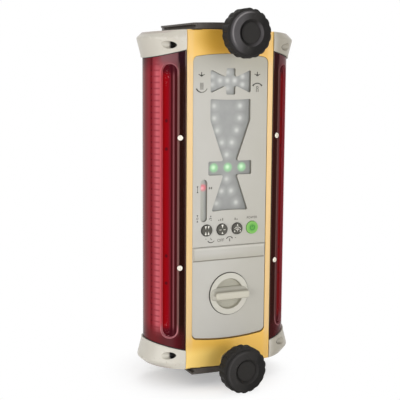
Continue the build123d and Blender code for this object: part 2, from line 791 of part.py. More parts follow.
with BuildPart() as cap_screws:
    for side in (-1, 1):
        seat_x = side * (half_w + cap_seat)
        with Locations(*[facing(seat_x, front_y + cap_screw_depth, z, (side, 0, 0))
                         for z in (-cap_screw_z, cap_screw_z)]):
            add(screw(body_screw, cap_seat + cap_boss_r))
write(cap_screws.part, "cap_screws")

# Display panel and lens
with BuildPart() as display_panel:
    with BuildSketch(behind(panel_drop)):
        add(recess_outline(panel_gap))
        with Locations((0, seam_z + panel_gap / 2 + half_h)):
            Rectangle(front_w, 2 * half_h, mode=Mode.INTERSECT)
        add(glass_opening.sketch, mode=Mode.SUBTRACT)
        add(level_opening.sketch, mode=Mode.SUBTRACT)
        with Locations((0, tie_z)):
            add(tie_opening.sketch, mode=Mode.SUBTRACT)
        for x, diameter in zip(button_xs, button_ds):
            with Locations((x, button_z)):
                Circle(diameter / 2 + button_gap, mode=Mode.SUBTRACT)
    extrude(amount=-(recess_depth - panel_drop))
write(display_panel.part, "display_panel")

with BuildPart() as display_lens:
    with BuildSketch(behind(recess_depth)):
        add(lens_outline.sketch)
        offset(amount=-lens_fit, kind=Kind.INTERSECTION, mode=Mode.REPLACE)
    extrude(amount=-lens_t)
write(display_lens.part, "display_lens")

# Lamps
tie_points = [(0, tie_z), (0, tie_z - plumb_v), (0, tie_z + plumb_v)]
for side in (-1, 1):
    tie_points += [(side * plumb_in, tie_z), (side * plumb_out, tie_z - plumb_out_v),
                   (side * plumb_out, tie_z + plumb_out_v)]
with BuildPart() as plumb_leds:
    add(lamps(tie_points))
write(plumb_leds.part, "plumb_leds")

grade_points = []
for row, spread in grade_rows:
    grade_points += [(side * spread, bar_z + row * led_pitch) for side in (-1, 1)]
for row in (-1, 1):
    grade_points.append((0, bar_z + row * led_pitch))
with BuildPart() as grade_leds:
    add(lamps(grade_points))
write(grade_leds.part, "grade_leds")

with BuildPart() as on_grade_leds:
    add(lamps([(-on_grade_x, bar_z), (0, bar_z), (on_grade_x, bar_z)]))
write(on_grade_leds.part, "on_grade_leds")

with BuildPart() as level_leds:
    with BuildSketch(behind(led_tip)):
        with Locations(*[(level_x, level_led_top - step * level_led_pitch) for step in range(5)]):
            Rectangle(level_led_w, level_led_h)
    extrude(amount=-(board_depth - led_tip))
write(level_leds.part, "level_leds")

# Control board with key switches
with BuildPart() as control_board:
    with BuildSketch(behind(board_depth)):
        with Locations((0, (board_low + board_high) / 2)):
            Rectangle(board_w, board_high - board_low)
        with Locations(*standoffs):
            Circle(small_screw[0] / 2 + screw_gap, mode=Mode.SUBTRACT)
    extrude(amount=-board_t)
write(control_board.part, "control_board")

with BuildPart() as board_screws:
    with Locations(*[facing(x, front_y + board_depth + board_t, z, (0, 1, 0)) for x, z in standoffs]):
        add(screw(small_screw, board_t + board_depth - front_wall - screw_gap))
write(board_screws.part, "board_screws")

with BuildPart() as key_switches:
    with BuildSketch(behind(switch_depth)):
        with Locations(*[(x, button_z) for x in button_xs]):
            Circle(switch_w / 4)
    extrude(amount=-(board_depth - switch_depth))
    with BuildSketch(behind(switch_depth + button_travel)):
        with Locations(*[(x, button_z) for x in button_xs]):
            Rectangle(switch_w, switch_w)
    extrude(amount=-(board_depth - switch_depth - button_travel))
write(key_switches.part, "key_switches")

# Push buttons
for name, x, diameter in zip(button_names, button_xs, button_ds):
    with BuildPart() as button:
        with BuildSketch(front.offset(button_proud)):
            with Locations((x, button_z)):
                Circle(diameter / 2)
        extrude(amount=-(button_proud + front_wall))
        fillet(button.faces().sort_by(Axis.Y)[0].edges(), button_round)
        with BuildSketch(behind(front_wall)):
            with Locations((x, button_z)):
                Circle(diameter / 2 + button_flange)
        extrude(amount=-flange_t)
        with BuildSketch(behind(front_wall + flange_t)):
            with Locations((x, button_z)):
                Circle(switch_w / 4)
        extrude(amount=-switch_play)
    write(button.part, name)

# Sensor columns
with BuildPart() as left_sensor_board:
    with BuildSketch(across(-sensor_x)):
        with Locations((tube_y, 0)):
            Rectangle(sensor_w, sensor_len)
        with Locations(*[(tube_y - post_in, z) for z in post_rows]):
            Circle(small_screw[0] / 2 + screw_gap, mode=Mode.SUBTRACT)
    extrude(amount=-sensor_t)
write(left_sensor_board.part, "left_sensor_board")

with BuildPart() as right_sensor_board:
    mirror(left_sensor_board.part, about=Plane.YZ)
write(right_sensor_board.part, "right_sensor_board")

with BuildPart() as left_photodiodes:
    with BuildSketch(across(-(sensor_x + sensor_t))):
        with Locations((tube_y, 0)):
            with GridLocations(0, diode_pitch, 1, diode_count):
                Rectangle(diode_w, diode_h)
    extrude(amount=-diode_t)
write(left_photodiodes.part, "left_photodiodes")

with BuildPart() as right_photodiodes:
    mirror(left_photodiodes.part, about=Plane.YZ)
write(right_photodiodes.part, "right_photodiodes")

with BuildPart() as sensor_screws:
    for side in (-1, 1):
        with Locations(*[facing(side * (sensor_x + sensor_t), tube_y - post_in, z, (side, 0, 0))
                         for z in post_rows]):
            add(screw(small_screw, sensor_t + sensor_x - half_w))
write(sensor_screws.part, "sensor_screws")

# Battery tray, cells and contacts
with BuildPart() as battery_tray:
    with BuildSketch(behind(tray_front)):
        with Locations((0, latch_z)):
            Rectangle(tray_w, tray_h)
    extrude(amount=-(tray_rear - tray_front))
    with BuildSketch(behind(tray_front)):
        with Locations((0, latch_z)):
            Rectangle(tray_w - 2 * tray_wall, tray_h - 2 * tray_wall)
    extrude(amount=-(tray_rear - tray_front - tray_wall), mode=Mode.SUBTRACT)
    with BuildSketch(behind(tray_rear)):
        with Locations(*tray_screws_at):
            Circle(small_screw[0] / 2 + screw_gap)
    extrude(amount=tray_wall, mode=Mode.SUBTRACT)
write(battery_tray.part, "battery_tray")

with BuildPart() as tray_screws:
    with Locations(*[facing(x, front_y + tray_rear - tray_wall, z, (0, -1, 0)) for x, z in tray_screws_at]):
        add(screw(small_screw, tray_wall + rear_wall - screw_gap))
write(tray_screws.part, "tray_screws")

cells = [(x, y) for y in (cell_rear - cell_step, cell_rear) for x in (-cell_step / 2, cell_step / 2)]
for number, (x, y) in enumerate(cells, 1):
    with BuildPart() as cell:
        with BuildSketch(Plane.XY.offset(latch_z - cell_total / 2)):
            with Locations((x, y)):
                Circle(cell_d / 2)
        extrude(amount=cell_len)
        fillet(cell.edges().filter_by(GeomType.CIRCLE), cell_round)
        with BuildSketch(Plane.XY.offset(latch_z - cell_total / 2 + cell_len)):
            with Locations((x, y)):
                Circle(nub_d / 2)
        extrude(amount=nub_h)
    write(cell.part, f"battery_cell_{number}")

with BuildPart() as battery_contacts:
    for side in (-1, 1):
        with BuildSketch(Plane.XY.offset(latch_z + side * (tray_h / 2 - tray_wall))):
            with Locations(*cells):
                Rectangle(contact_w, contact_w)
        extrude(amount=-side * contact_t)
        with BuildSketch(Plane.XY.offset(latch_z + side * (tray_h / 2 - tray_wall - contact_t))):
            with Locations(*cells):
                Circle(contact_bump_d / 2)
        extrude(amount=-side * contact_bump)
write(battery_contacts.part, "battery_contacts")

# Battery door with its ledge and latch cup
with BuildPart() as battery_door:
    with BuildSketch(behind(panel_drop)):
        add(crowned(recess_w - 2 * panel_gap, door_bottom + recess_rise, half_h, recess_rise,
                    recess_corner - panel_gap))
        with Locations((0, seam_z - panel_gap / 2 - half_h)):
            Rectangle(front_w, 2 * half_h, mode=Mode.INTERSECT)
    extrude(amount=-door_plate)
    with BuildSketch(behind(panel_drop)):
        with Locations((0, seam_z - panel_gap / 2 - ledge_h / 2)):
            Rectangle(ledge_w, ledge_h)
    extrude(amount=ledge_rise, taper=ledge_taper)
    with BuildSketch(behind(panel_drop)):
        with Locations((0, latch_z)):
            Circle(latch_r + latch_gap + cup_wall)
    extrude(amount=-(cup_bottom - panel_drop))
    with BuildSketch(behind(panel_drop)):
        with Locations((0, latch_z)):
            Circle(latch_r + latch_gap)
    extrude(amount=-(cup_bottom - cup_floor - panel_drop), mode=Mode.SUBTRACT)
    with BuildSketch(behind(panel_drop)):
        with Locations((0, latch_z)):
            Circle(shaft_d / 2 + shaft_gap)
    extrude(amount=-cup_bottom, mode=Mode.SUBTRACT)
write(battery_door.part, "battery_door")

with BuildPart() as door_seal:
    with BuildSketch(behind(panel_drop + door_plate)):
        with Locations((0, (opening_top + opening_low) / 2)):
            RectangleRounded(opening_w + 2 * (seal_in + seal_w), opening_top - opening_low + 2 * (seal_in + seal_w),
                             opening_corner + seal_in + seal_w)
            RectangleRounded(opening_w + 2 * seal_in, opening_top - opening_low + 2 * seal_in,
                             opening_corner + seal_in, mode=Mode.SUBTRACT)
    extrude(amount=-(recess_depth - panel_drop - door_plate))
write(door_seal.part, "door_seal")

# Quarter-turn latch: rotor with a grip fin, cam behind the cup, keepers on the front shell
with BuildPart() as door_latch:
    with BuildSketch(front.offset(latch_proud)):
        with Locations((0, latch_z)):
            Circle(latch_r)
    extrude(amount=-(latch_proud + latch_back))
    fillet(door_latch.faces().sort_by(Axis.Y)[0].edges(), latch_round)
    with BuildSketch(front.offset(latch_proud)):
        with Locations((0, latch_z)):
            Circle(pocket_d / 2)
            Rectangle(latch_d, fin_base_w, mode=Mode.SUBTRACT)
    extrude(amount=-pocket_depth, taper=pocket_taper, mode=Mode.SUBTRACT)
    with BuildSketch(front.offset(latch_proud)):
        with Locations((0, latch_z)):
            RectangleRounded(fin_base_len, fin_base_w, fin_base_corner)
    with BuildSketch(front.offset(fin_front)):
        with Locations((0, latch_z)):
            RectangleRounded(fin_len, fin_w, fin_corner)
    loft(ruled=True)
    fillet(door_latch.faces().sort_by(Axis.Y)[0].edges(), fin_round)
    with BuildSketch(behind(latch_back)):
        with Locations((0, latch_z)):
            Circle(shaft_d / 2)
    extrude(amount=-(cam_depth - latch_back))
    with BuildSketch(behind(cam_depth)):
        with Locations((0, latch_z)):
            Circle(latch_screw_size[0] / 2)
    extrude(amount=latch_screw_len, mode=Mode.SUBTRACT)
write(door_latch.part, "door_latch")

with BuildPart() as latch_cam:
    with BuildSketch(behind(cam_depth)):
        with Locations((0, latch_z)):
            SlotOverall(cam_len, cam_w, rotation=90)
            Circle(latch_screw_size[0] / 2, mode=Mode.SUBTRACT)
    extrude(amount=-cam_t)
write(latch_cam.part, "latch_cam")

with BuildPart() as latch_screw:
    with Locations(facing(0, front_y + cam_depth + cam_t, latch_z, (0, 1, 0))):
        add(screw(latch_screw_size, cam_t + latch_screw_len))
write(latch_screw.part, "latch_screw")

with BuildPart() as latch_keepers:
    keeper_from = cam_len / 2 - keeper_reach
    keeper_to = opening_w / 2 + keeper_foot
    with BuildSketch(behind(front_wall)):
        for side in (-1, 1):
            with Locations((side * (keeper_from + keeper_to) / 2, latch_z)):
                Rectangle(keeper_to - keeper_from, keeper_h)
    extrude(amount=-(cup_bottom - front_wall))
write(latch_keepers.part, "latch_keepers")

# Clamp knob with its stud, washer, clip and centre cap, at the top
with BuildPart() as top_knob:
    with BuildSketch(front.offset(knob_front)) as lobed:
        with Locations((0, knob_z)):
            Circle(knob_d / 2 - lobe_r)
            with PolarLocations(knob_d / 2 - lobe_r, lobe_count, start_angle=90):
                Circle(lobe_r)
        fillet(lobed.vertices(), valley_round)
    extrude(amount=-knob_rim)
    with BuildSketch(across(0)):
        face_y = front_y - knob_front
        lobe_y = face_y + knob_face_fall + knob_disc_h
        with BuildLine():
            Polyline(
                (face_y + knob_well, knob_z), (face_y + knob_well, knob_z + knob_well_floor_d / 2),
                (face_y, knob_z + knob_well_d / 2),
                (face_y + knob_face_fall, knob_z + knob_disc_d / 2 - knob_disc_edge),
                (face_y + knob_face_fall + knob_disc_edge, knob_z + knob_disc_d / 2),
                (lobe_y, knob_z + knob_disc_d / 2), (lobe_y + lobe_bevel, knob_z + knob_d / 2),
                (face_y + knob_rim - lobe_bevel, knob_z + knob_d / 2),
                (face_y + knob_rim, knob_z + knob_d / 2 - lobe_bevel), (face_y + knob_rim, knob_z), close=True)
        make_face()
    revolve(axis=Axis((0, 0, knob_z), (0, 1, 0)), mode=Mode.INTERSECT)
    with BuildSketch(front.offset(knob_front - knob_rim)):
        with Locations((0, knob_z)):
            Circle(hub_d / 2)
    extrude(amount=-(knob_front - knob_rim - washer_t))
    with BuildSketch(front.offset(stud_head)):
        with Locations((0, knob_z)):
            Circle(stud_r)
    extrude(amount=-stud_head, mode=Mode.SUBTRACT)
write(top_knob.part, "top_knob")

with BuildPart() as top_knob_cap:
    with BuildSketch(front.offset(knob_front - knob_well)):
        with Locations((0, knob_z)):
            Circle(knob_cap_d / 2)
    extrude(amount=knob_cap_h)
    fillet(top_knob_cap.faces().sort_by(Axis.Y)[0].edges(), knob_cap_round)
write(top_knob_cap.part, "top_knob_cap")

with BuildPart() as top_stud:
    with BuildSketch(front.offset(stud_head)):
        with Locations((0, knob_z)):
            Circle(stud_r)
    extrude(amount=-(stud_head + stud_tail))
    with BuildSketch(behind(clip_at)):
        with Locations((0, knob_z)):
            Circle(stud_r)
            Circle(stud_r - clip_groove, mode=Mode.SUBTRACT)
    extrude(amount=-clip_t, mode=Mode.SUBTRACT)
write(top_stud.part, "top_stud")

with BuildPart() as top_washer:
    with BuildSketch(front):
        with Locations((0, knob_z)):
            Circle(washer_d / 2)
            Circle(stud_r + screw_gap, mode=Mode.SUBTRACT)
    extrude(amount=washer_t)
write(top_washer.part, "top_washer")

with BuildPart() as top_clip:
    with BuildSketch(behind(clip_at)):
        with Locations((0, knob_z)):
            Circle(clip_d / 2)
            Circle(stud_r - clip_groove, mode=Mode.SUBTRACT)
        with Locations((0, knob_z - clip_d / 2)):
            Rectangle(2 * (stud_r - clip_groove), clip_d, mode=Mode.SUBTRACT)
    extrude(amount=-clip_t)
write(top_clip.part, "top_clip")

# Clamp plate lying on the cap, closed round the mast, with the draw nut below it
with BuildPart() as top_clamp_plate:
    with BuildSketch(behind(plate_setback)):
        with Locations((0, arch_z)):
            Circle(arch_r + slide_gap + plate_t)
            Circle(arch_r + slide_gap, mode=Mode.SUBTRACT)
        with Locations((0, half_h)):
            Rectangle(plate_w, half_h, mode=Mode.INTERSECT)
        for side in (-1, 1):
            with BuildLine():
                Polyline(
                    (side * plate_w / 2, plate_high - plate_lip),
                    (side * (plate_w / 2 - groove_deep), plate_low + groove_up),
                    (side * (plate_w / 2 - groove_heel), plate_low), (side * plate_w / 2, plate_low - plate_t),
                    close=True)
            make_face(mode=Mode.SUBTRACT)
    extrude(amount=-reach)
    with BuildSketch(Plane.XY):
        with BuildLine():
            Polyline(
                stirrup_tangent(-1), (-strap_x, shoulder_y), (-plate_w / 2, shoulder_y), (-plate_w / 2, front_y),
                (plate_w / 2, front_y), (plate_w / 2, shoulder_y), (strap_x, shoulder_y), stirrup_tangent(1))
            ThreePointArc(stirrup_tangent(1), (0, stirrup_r), stirrup_tangent(-1))
        make_face()
        Circle(mast_r, mode=Mode.SUBTRACT)
        with Locations((0, -stirrup_front)):
            Circle(mast_r, mode=Mode.SUBTRACT)
        with Locations((0, -stirrup_front / 2)):
            Rectangle(mast_d, stirrup_front, mode=Mode.SUBTRACT)
    extrude(amount=body_h, mode=Mode.INTERSECT)
    with BuildSketch(Plane.XY):
        with Locations(*nut_screws_at):
            Circle(small_screw[0] / 2 + screw_gap)
    extrude(amount=body_h, mode=Mode.SUBTRACT)
    with BuildSketch(Plane.XY.offset(nut_screw_z)):
        with Locations(*nut_screws_at):
            Circle(small_screw[1] / 2 + screw_gap)
    extrude(amount=plate_t, mode=Mode.SUBTRACT)
write(top_clamp_plate.part, "top_clamp_plate")

with BuildPart() as top_draw_nut:
    with BuildSketch(behind(nut_depth)):
        with Locations((0, (nut_top + knob_z - nut_drop) / 2)):
            Rectangle(nut_w, nut_top - knob_z + nut_drop)
        with Locations((0, knob_z)):
            Circle(stud_r + thread_gap, mode=Mode.SUBTRACT)
    extrude(amount=-nut_len)
    with BuildSketch(Plane.XY.offset(nut_top)):
        with Locations(*nut_screws_at):
            Circle(small_screw[0] / 2)
    extrude(amount=-nut_screw_len, mode=Mode.SUBTRACT)
write(top_draw_nut.part, "top_draw_nut")

with BuildPart() as top_nut_screws:
    with Locations(*[facing(x, y, nut_screw_z, (0, 0, 1)) for x, y in nut_screws_at]):
        add(screw(small_screw, nut_screw_z - nut_top + nut_screw_len - screw_gap))
write(top_nut_screws.part, "top_nut_screws")

# The lower clamp is the upper one turned over
for made, name in (
        (top_knob, "knob"), (top_knob_cap, "knob_cap"), (top_stud, "stud"), (top_washer, "washer"),
        (top_clip, "clip"), (top_clamp_plate, "clamp_plate"), (top_draw_nut, "draw_nut"),
        (top_nut_screws, "nut_screws")):
    with BuildPart() as lower:
        mirror(made.part, about=Plane.XY)
    write(lower.part, f"bottom_{name}")

# Saddle that carries the body on the mast, with its liner
with BuildPart() as mast_saddle:
    with BuildSketch(Plane.XY.offset(-saddle_len / 2)):
        with Locations((0, rear_y + foot_t / 2)):
            Rectangle(foot_w, foot_t)
        with Locations((0, (rear_y + saddle_lip) / 2)):
            Rectangle(saddle_w, saddle_lip - rear_y)
        Circle(mast_r + liner_t, mode=Mode.SUBTRACT)
    extrude(amount=saddle_len)
    with BuildSketch(behind(body_d)):
        with Locations(*saddle_screws_at):
            Circle(body_screw[0] / 2 + screw_gap)
    extrude(amount=-foot_t, mode=Mode.SUBTRACT)
write(mast_saddle.part, "mast_saddle")

with BuildPart() as saddle_liner:
    with BuildSketch(Plane.XY.offset(-saddle_len / 2)):
        Circle(mast_r + liner_t)
        Circle(mast_r, mode=Mode.SUBTRACT)
        with BuildSketch(mode=Mode.PRIVATE) as wedge:
            with BuildLine():
                side_x = reach * sin(radians(liner_half_angle))
                side_y = -reach * cos(radians(liner_half_angle))
                Polyline((0, 0), (-side_x, side_y), (side_x, side_y), close=True)
            make_face()
        add(wedge.sketch, mode=Mode.INTERSECT)
    extrude(amount=saddle_len)
write(saddle_liner.part, "saddle_liner")

with BuildPart() as saddle_screws:
    with Locations(*[facing(x, rear_y + foot_t, z, (0, 1, 0)) for x, z in saddle_screws_at]):
        add(screw(body_screw, foot_t + rear_wall - screw_gap))
write(saddle_screws.part, "saddle_screws")
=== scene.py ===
from math import cos, pi, radians, sin

import bmesh
import bpy
import numpy as np
from mathutils import Matrix, Vector


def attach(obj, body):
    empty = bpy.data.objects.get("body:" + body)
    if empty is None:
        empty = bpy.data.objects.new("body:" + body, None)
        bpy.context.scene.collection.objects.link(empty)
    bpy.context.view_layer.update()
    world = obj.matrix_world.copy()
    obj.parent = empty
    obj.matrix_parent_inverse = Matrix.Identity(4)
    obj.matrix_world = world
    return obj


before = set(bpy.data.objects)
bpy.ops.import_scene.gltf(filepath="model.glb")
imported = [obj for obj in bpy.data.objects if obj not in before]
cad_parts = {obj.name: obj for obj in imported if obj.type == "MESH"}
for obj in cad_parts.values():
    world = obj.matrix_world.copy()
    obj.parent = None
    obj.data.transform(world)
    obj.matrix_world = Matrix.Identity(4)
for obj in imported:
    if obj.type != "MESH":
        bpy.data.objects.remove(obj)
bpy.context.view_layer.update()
mm = 0.001
perMetre = 1000.0        # millimetres
scene = bpy.context.scene
scene.view_settings.view_transform = "Standard"

# Places shared by several pieces, in millimetres
body = {"frontY": -103.15, "crownZ": 172.3, "crownR": 894.2, "tubeX": 41.8, "tubeR": 36.5, "panelDrop": 0.6,
        "latchZ": -96.2}
body["tubeY"] = body["frontY"] + body["tubeR"]
body["panelY"] = body["frontY"] + body["panelDrop"]
black = (0, 0, 0, 1)
white = (1, 1, 1, 1)


def srgb(red, green, blue):  # 0 to 255 screen values to linear colour
    part = np.array([red, green, blue]) / 255
    linear = np.where(part <= 0.04045, part / 12.92, ((part + 0.055) / 1.055) ** 2.4)
    return (*[float(v) for v in linear], 1.0)


def putSocket(tree, socket, value):
    if isinstance(value, Wire):
        tree.links.new(value.socket, socket)
    else:
        socket.default_value = value


# Any node: its type, its settings, then the values or links of its sockets
def addNode(tree, kind, settings=None, inputs=None, output=0):
    node = tree.nodes.new(kind)
    for name, value in (settings or {}).items():
        if name == "stops":
            while len(node.color_ramp.elements) < len(value):
                node.color_ramp.elements.new(0.5)
            for element, (at, colour) in zip(node.color_ramp.elements, value):
                element.position = at
                element.color = colour
        else:
            setattr(node, name, value)
    for name, value in (inputs or {}).items():
        putSocket(tree, node.inputs[name], value)
    return Wire(tree, node.outputs[output])


# A socket with arithmetic: every operator adds one Math node
class Wire:
    def __init__(self, tree, socket):
        self.tree = tree
        self.socket = socket

    def calc(self, operation, *values):
        return addNode(self.tree, "ShaderNodeMath", {"operation": operation}, dict(enumerate(values)))

    def __add__(self, other):
        return self.calc("ADD", self, other)

    def __radd__(self, other):
        return self.calc("ADD", other, self)

    def __sub__(self, other):
        return self.calc("SUBTRACT", self, other)

    def __rsub__(self, other):
        return self.calc("SUBTRACT", other, self)

    def __mul__(self, other):
        return self.calc("MULTIPLY", self, other)

    def __rmul__(self, other):
        return self.calc("MULTIPLY", other, self)

    def __truediv__(self, other):
        return self.calc("DIVIDE", self, other)

    def __rtruediv__(self, other):
        return self.calc("DIVIDE", other, self)

    def __abs__(self):
        return self.calc("ABSOLUTE", self)

    def root(self):
        return self.calc("SQRT", self)

    def wave(self):
        return self.calc("SINE", self)

    def fraction(self):
        return self.calc("FRACT", self)

    def most(self, other):
        return self.calc("MAXIMUM", self, other)

    def least(self, other):
        return self.calc("MINIMUM", self, other)

    # 0 below low, 1 above high, eased between
    def ease(self, low, high):
        return addNode(self.tree, "ShaderNodeMapRange", {"interpolation_type": "SMOOTHSTEP"},
                       {"Value": self, "From Min": low, "From Max": high}, "Result")

    # 1 below low, 0 above high
    def fade(self, low, high):
        return 1 - self.ease(low, high)

    # 1 within low of a place, 0 beyond high
    def near(self, place, low, high):
        return abs(self - place).fade(low, high)


def length(across, up):
    return (across * across + up * up).root()


# One material; x, y and z are Object coordinates in millimetres
class Finish:
    sockets = {"colour": "Base Color", "roughness": "Roughness", "metallic": "Metallic", "normal": "Normal",
               "coat": "Coat Weight", "coatRoughness": "Coat Roughness", "glow": "Emission Color",
               "glowStrength": "Emission Strength", "specular": "Specular IOR Level"}

    def __init__(self, name):
        self.material = bpy.data.materials.new(name)
        self.material.use_nodes = True
        self.tree = self.material.node_tree
        self.shader = self.tree.nodes["Principled BSDF"]
        self.out = self.tree.nodes["Material Output"]
        self.place = self.add("ShaderNodeTexCoord", output="Object")
        apart = self.add("ShaderNodeSeparateXYZ", None, {0: self.place}).socket.node
        self.x, self.y, self.z = [Wire(self.tree, axis) * perMetre for axis in apart.outputs]

    def add(self, *node, **more):
        return addNode(self.tree, *node, **more)

    def set(self, **values):
        for name, value in values.items():
            putSocket(self.tree, self.shader.inputs[self.sockets[name]], value)
        return self

    # Noise with a grain of the given size in millimetres; stretch slows it along an axis
    def noise(self, size, detail=2.0, rough=0.5, stretch=(1, 1, 1)):
        vector = self.add("ShaderNodeMapping", None, {"Vector": self.place, "Scale": stretch})
        return self.add("ShaderNodeTexNoise", None,
                        {"Vector": vector, "Scale": perMetre / size, "Detail": detail, "Roughness": rough})

    # Patches where such a noise rises from low to high
    def patches(self, low, high, *noise):
        return self.noise(*noise).ease(low, high)

    def mix(self, share, first, second):
        return self.add("ShaderNodeMix", {"data_type": "RGBA"}, {0: share, 6: first, 7: second}, output=2)

    # Lays coats over a colour in turn, each a mask with its share and tone
    def over(self, colour, *coats):
        for mask, (share, tone) in coats:
            colour = self.mix(mask * share if share < 1 else mask, colour, tone)
        return colour

    def bump(self, height, depth, strength):  # depth in millimetres
        return self.add("ShaderNodeBump", None,
                        {"Height": height, "Distance": depth * mm, "Strength": strength})

    # A grained surface: rough is a level and what the grain adds to it, bump a depth and a strength
    def skin(self, colour, grain, rough, bump=None, wear=None, **more):
        roughness = rough[0] + grain * rough[1]
        if wear is not None:
            roughness = roughness + wear
        if bump is not None:
            more["normal"] = self.bump(grain, *bump)
        return self.set(colour=colour, roughness=roughness, **more)

    def solid(self):
        return Wire(self.tree, self.shader.outputs[0])

    # The first shader at share 0, the second at share 1
    def mixShaders(self, share, first, second):
        return self.add("ShaderNodeMixShader", None, {0: share, 1: first, 2: second})

    def show(self, shader):
        putSocket(self.tree, self.out.inputs["Surface"], shader)
        return self

    # Mixes the solid shader over a see-through one
    def seeThrough(self, share, tint):
        clear = self.add("ShaderNodeBsdfTransparent", None, {"Color": tint})
        return self.show(self.mixShaders(share, clear, self.solid()))

    def give(self, *nodes):
        for name in nodes:
            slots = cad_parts[name].data.materials
            slots.clear()
            slots.append(self.material)
        return self


# Yellow moulded shells: the upper knob's painted shadow and reflection as amber beside it, painted highlights
# as pale strips beside the panel, painted light at the lower left, painted near-black shade inside the sensor
# chambers and painted shade on the walls of the recess round the panel. Here and below, a coat is its share and
# its tone; a grain or patch is the numbers of a noise, after its two limits where only its peaks count; a pair
# of places is where a change of tone begins and ends, in millimetres.
yellow = {"tones": (srgb(228, 178, 66), srgb(235, 187, 82)), "patch": (70.0, 2.0), "grain": (0.7, 3.0, 0.6),
          "rough": (0.36, 0.1), "bump": (0.05, 0.35), "specular": 0.65,
          "knobShadow": (0.45, srgb(206, 146, 28)), "knobShadowUp": (138.0, 150.0), "knobShadowAcross": (-40.0, -14.0),
          "knobShadowOut": (38.0, 44.0),
          "edgeHighlight": (0.8, srgb(218, 186, 134)), "edgeHighlightOut": (39.5, 43.5), "edgeHighlightEnd": (132.0, 150.0),
          "edgeHighlightLoss": 0.75,
          "paintedLight": (0.8, srgb(254, 218, 122)), "paintedLightDown": (-158.0, -146.0), "paintedLightAcross": (-30.0, 12.0),
          "scuff": (0.25, srgb(218, 186, 134)), "scuffPatch": (0.60, 0.72, 26.0, 5.0, 0.7),
          "scuffLine": (0.5, 0.62, 0.9, 2.0, 0.6, (1, 1, 0.25)), "scuffRough": 0.12,
          "chamberShade": (1.0, srgb(22, 12, 11)), "chamberOut": (48.12, 48.17), "chamberIn": (4.9, 5.1),
          "chamberBack": (-30.4, -30.0),
          "recess": (0.85, srgb(92, 64, 18)), "recessIn": (0.3, 0.7), "recessOut": (43.0, 44.0)}


def yellowShell():
    f, c = Finish("yellowShell"), yellow
    out, inward = abs(f.x), f.y - body["frontY"]
    grain = f.noise(*c["grain"])
    # painted shadow and reflection of the upper knob, amber across the top of the front
    knobShadow = f.z.ease(*c["knobShadowUp"]) * f.x.ease(*c["knobShadowAcross"]) * out.fade(*c["knobShadowOut"])
    # painted highlights: pale strips beside the panel, weaker towards the ends
    edgeHighlight = out.ease(*c["edgeHighlightOut"]) * (1 - abs(f.z).ease(*c["edgeHighlightEnd"]) * c["edgeHighlightLoss"])
    # painted light: the lower left of the front made lighter
    paintedLight = f.z.fade(*c["paintedLightDown"]) * f.x.fade(*c["paintedLightAcross"])
    scuff = f.patches(*c["scuffPatch"]) * f.patches(*c["scuffLine"])
    # painted shade: near black inside the sensor chambers
    chamberShade = out.ease(*c["chamberOut"]) * inward.ease(*c["chamberIn"]) * f.y.fade(*c["chamberBack"])
    # painted shade on the walls of the recess round the panel
    recess = inward.ease(*c["recessIn"]) * out.fade(*c["recessOut"])
    colour = f.over(f.mix(f.noise(*c["patch"]), *c["tones"]), (knobShadow, c["knobShadow"]), (edgeHighlight, c["edgeHighlight"]),
                    (paintedLight, c["paintedLight"]), (scuff, c["scuff"]), (chamberShade, c["chamberShade"]), (recess, c["recess"]))
    f.skin(colour, grain, c["rough"], c["bump"], scuff * c["scuffRough"], specular=c["specular"])
    f.give("front_housing", "rear_housing")


# Light grey panel and door with a fine moulded grain; painted shade to the right and under the upper knob,
# painted highlight and shade on the door's ledge, a painted shadow line under it, painted shade on the
# openings' walls
panel = {"tones": (srgb(181, 178, 169), srgb(190, 188, 182)), "patch": (38.0, 3.0), "grain": (0.45, 2.0, 0.6),
         "rough": (0.5, 0.12), "bump": (0.04, 0.4),
         "speck": (0.35, srgb(161, 157, 147)), "speckCut": (0.55, 0.75),
         "panelShade": (1.0, srgb(166, 162, 148)), "panelShadeAcross": (-30.0, 40.0), "panelShadeUp": (112.0, 146.0),
         "panelShadeShares": (0.5, 0.65),
         "ledgeHighlight": (0.35, srgb(212, 209, 200)), "ledgeShade": (0.6, srgb(166, 162, 148)),
         "ledgeY": (-103.3, -103.0), "ledgeLow": -59.9, "topUp": (10.0, 13.0), "footUp": (0.5, 9.0),
         "seam": (0.75, srgb(116, 112, 100)), "seamUp": (0.1, 0.5, 1.1), "seamOut": (40.2, 40.8),
         "wall": (0.8, srgb(116, 112, 100)), "wallIn": (0.1, 0.4), "wallUp": (-26.0, -24.0),
         "bore": (0.8, srgb(62, 60, 52)), "boreEdge": (22.45, 22.8)}


def greyPanel():
    f, c = Finish("greyPanel"), panel
    grain = f.noise(*c["grain"])
    speck = grain.ease(*c["speckCut"])
    # painted shade: darker to the right, and at the top where the upper knob shades the panel
    panelShade = f.x.ease(*c["panelShadeAcross"]) * c["panelShadeShares"][0] + f.z.ease(*c["panelShadeUp"]) * c["panelShadeShares"][1]
    ledge = f.y.fade(*c["ledgeY"])                               # the door's raised ledge
    above = f.z - c["ledgeLow"]
    # painted shadow line under the ledge's lower edge
    seam = above.near(*c["seamUp"]) * abs(f.x).fade(*c["seamOut"])
    # painted shade on the walls of the openings
    wall = (f.y - body["panelY"]).ease(*c["wallIn"]) * f.z.ease(*c["wallUp"])        # walls of the openings
    bore = length(f.x, f.z - body["latchZ"]).fade(*c["boreEdge"])
    colour = f.over(f.mix(f.noise(*c["patch"]), *c["tones"]), (speck, c["speck"]), (panelShade, c["panelShade"]),
                    # painted highlight along the ledge's top, painted shade towards its foot
                    (ledge * above.ease(*c["topUp"]), c["ledgeHighlight"]),
                    (ledge * above.fade(*c["footUp"]), c["ledgeShade"]),
                    (seam, c["seam"]), (wall, c["wall"]), (bore, c["bore"]))
    f.skin(colour, grain, c["rough"], c["bump"])
    f.give("display_panel", "battery_door")


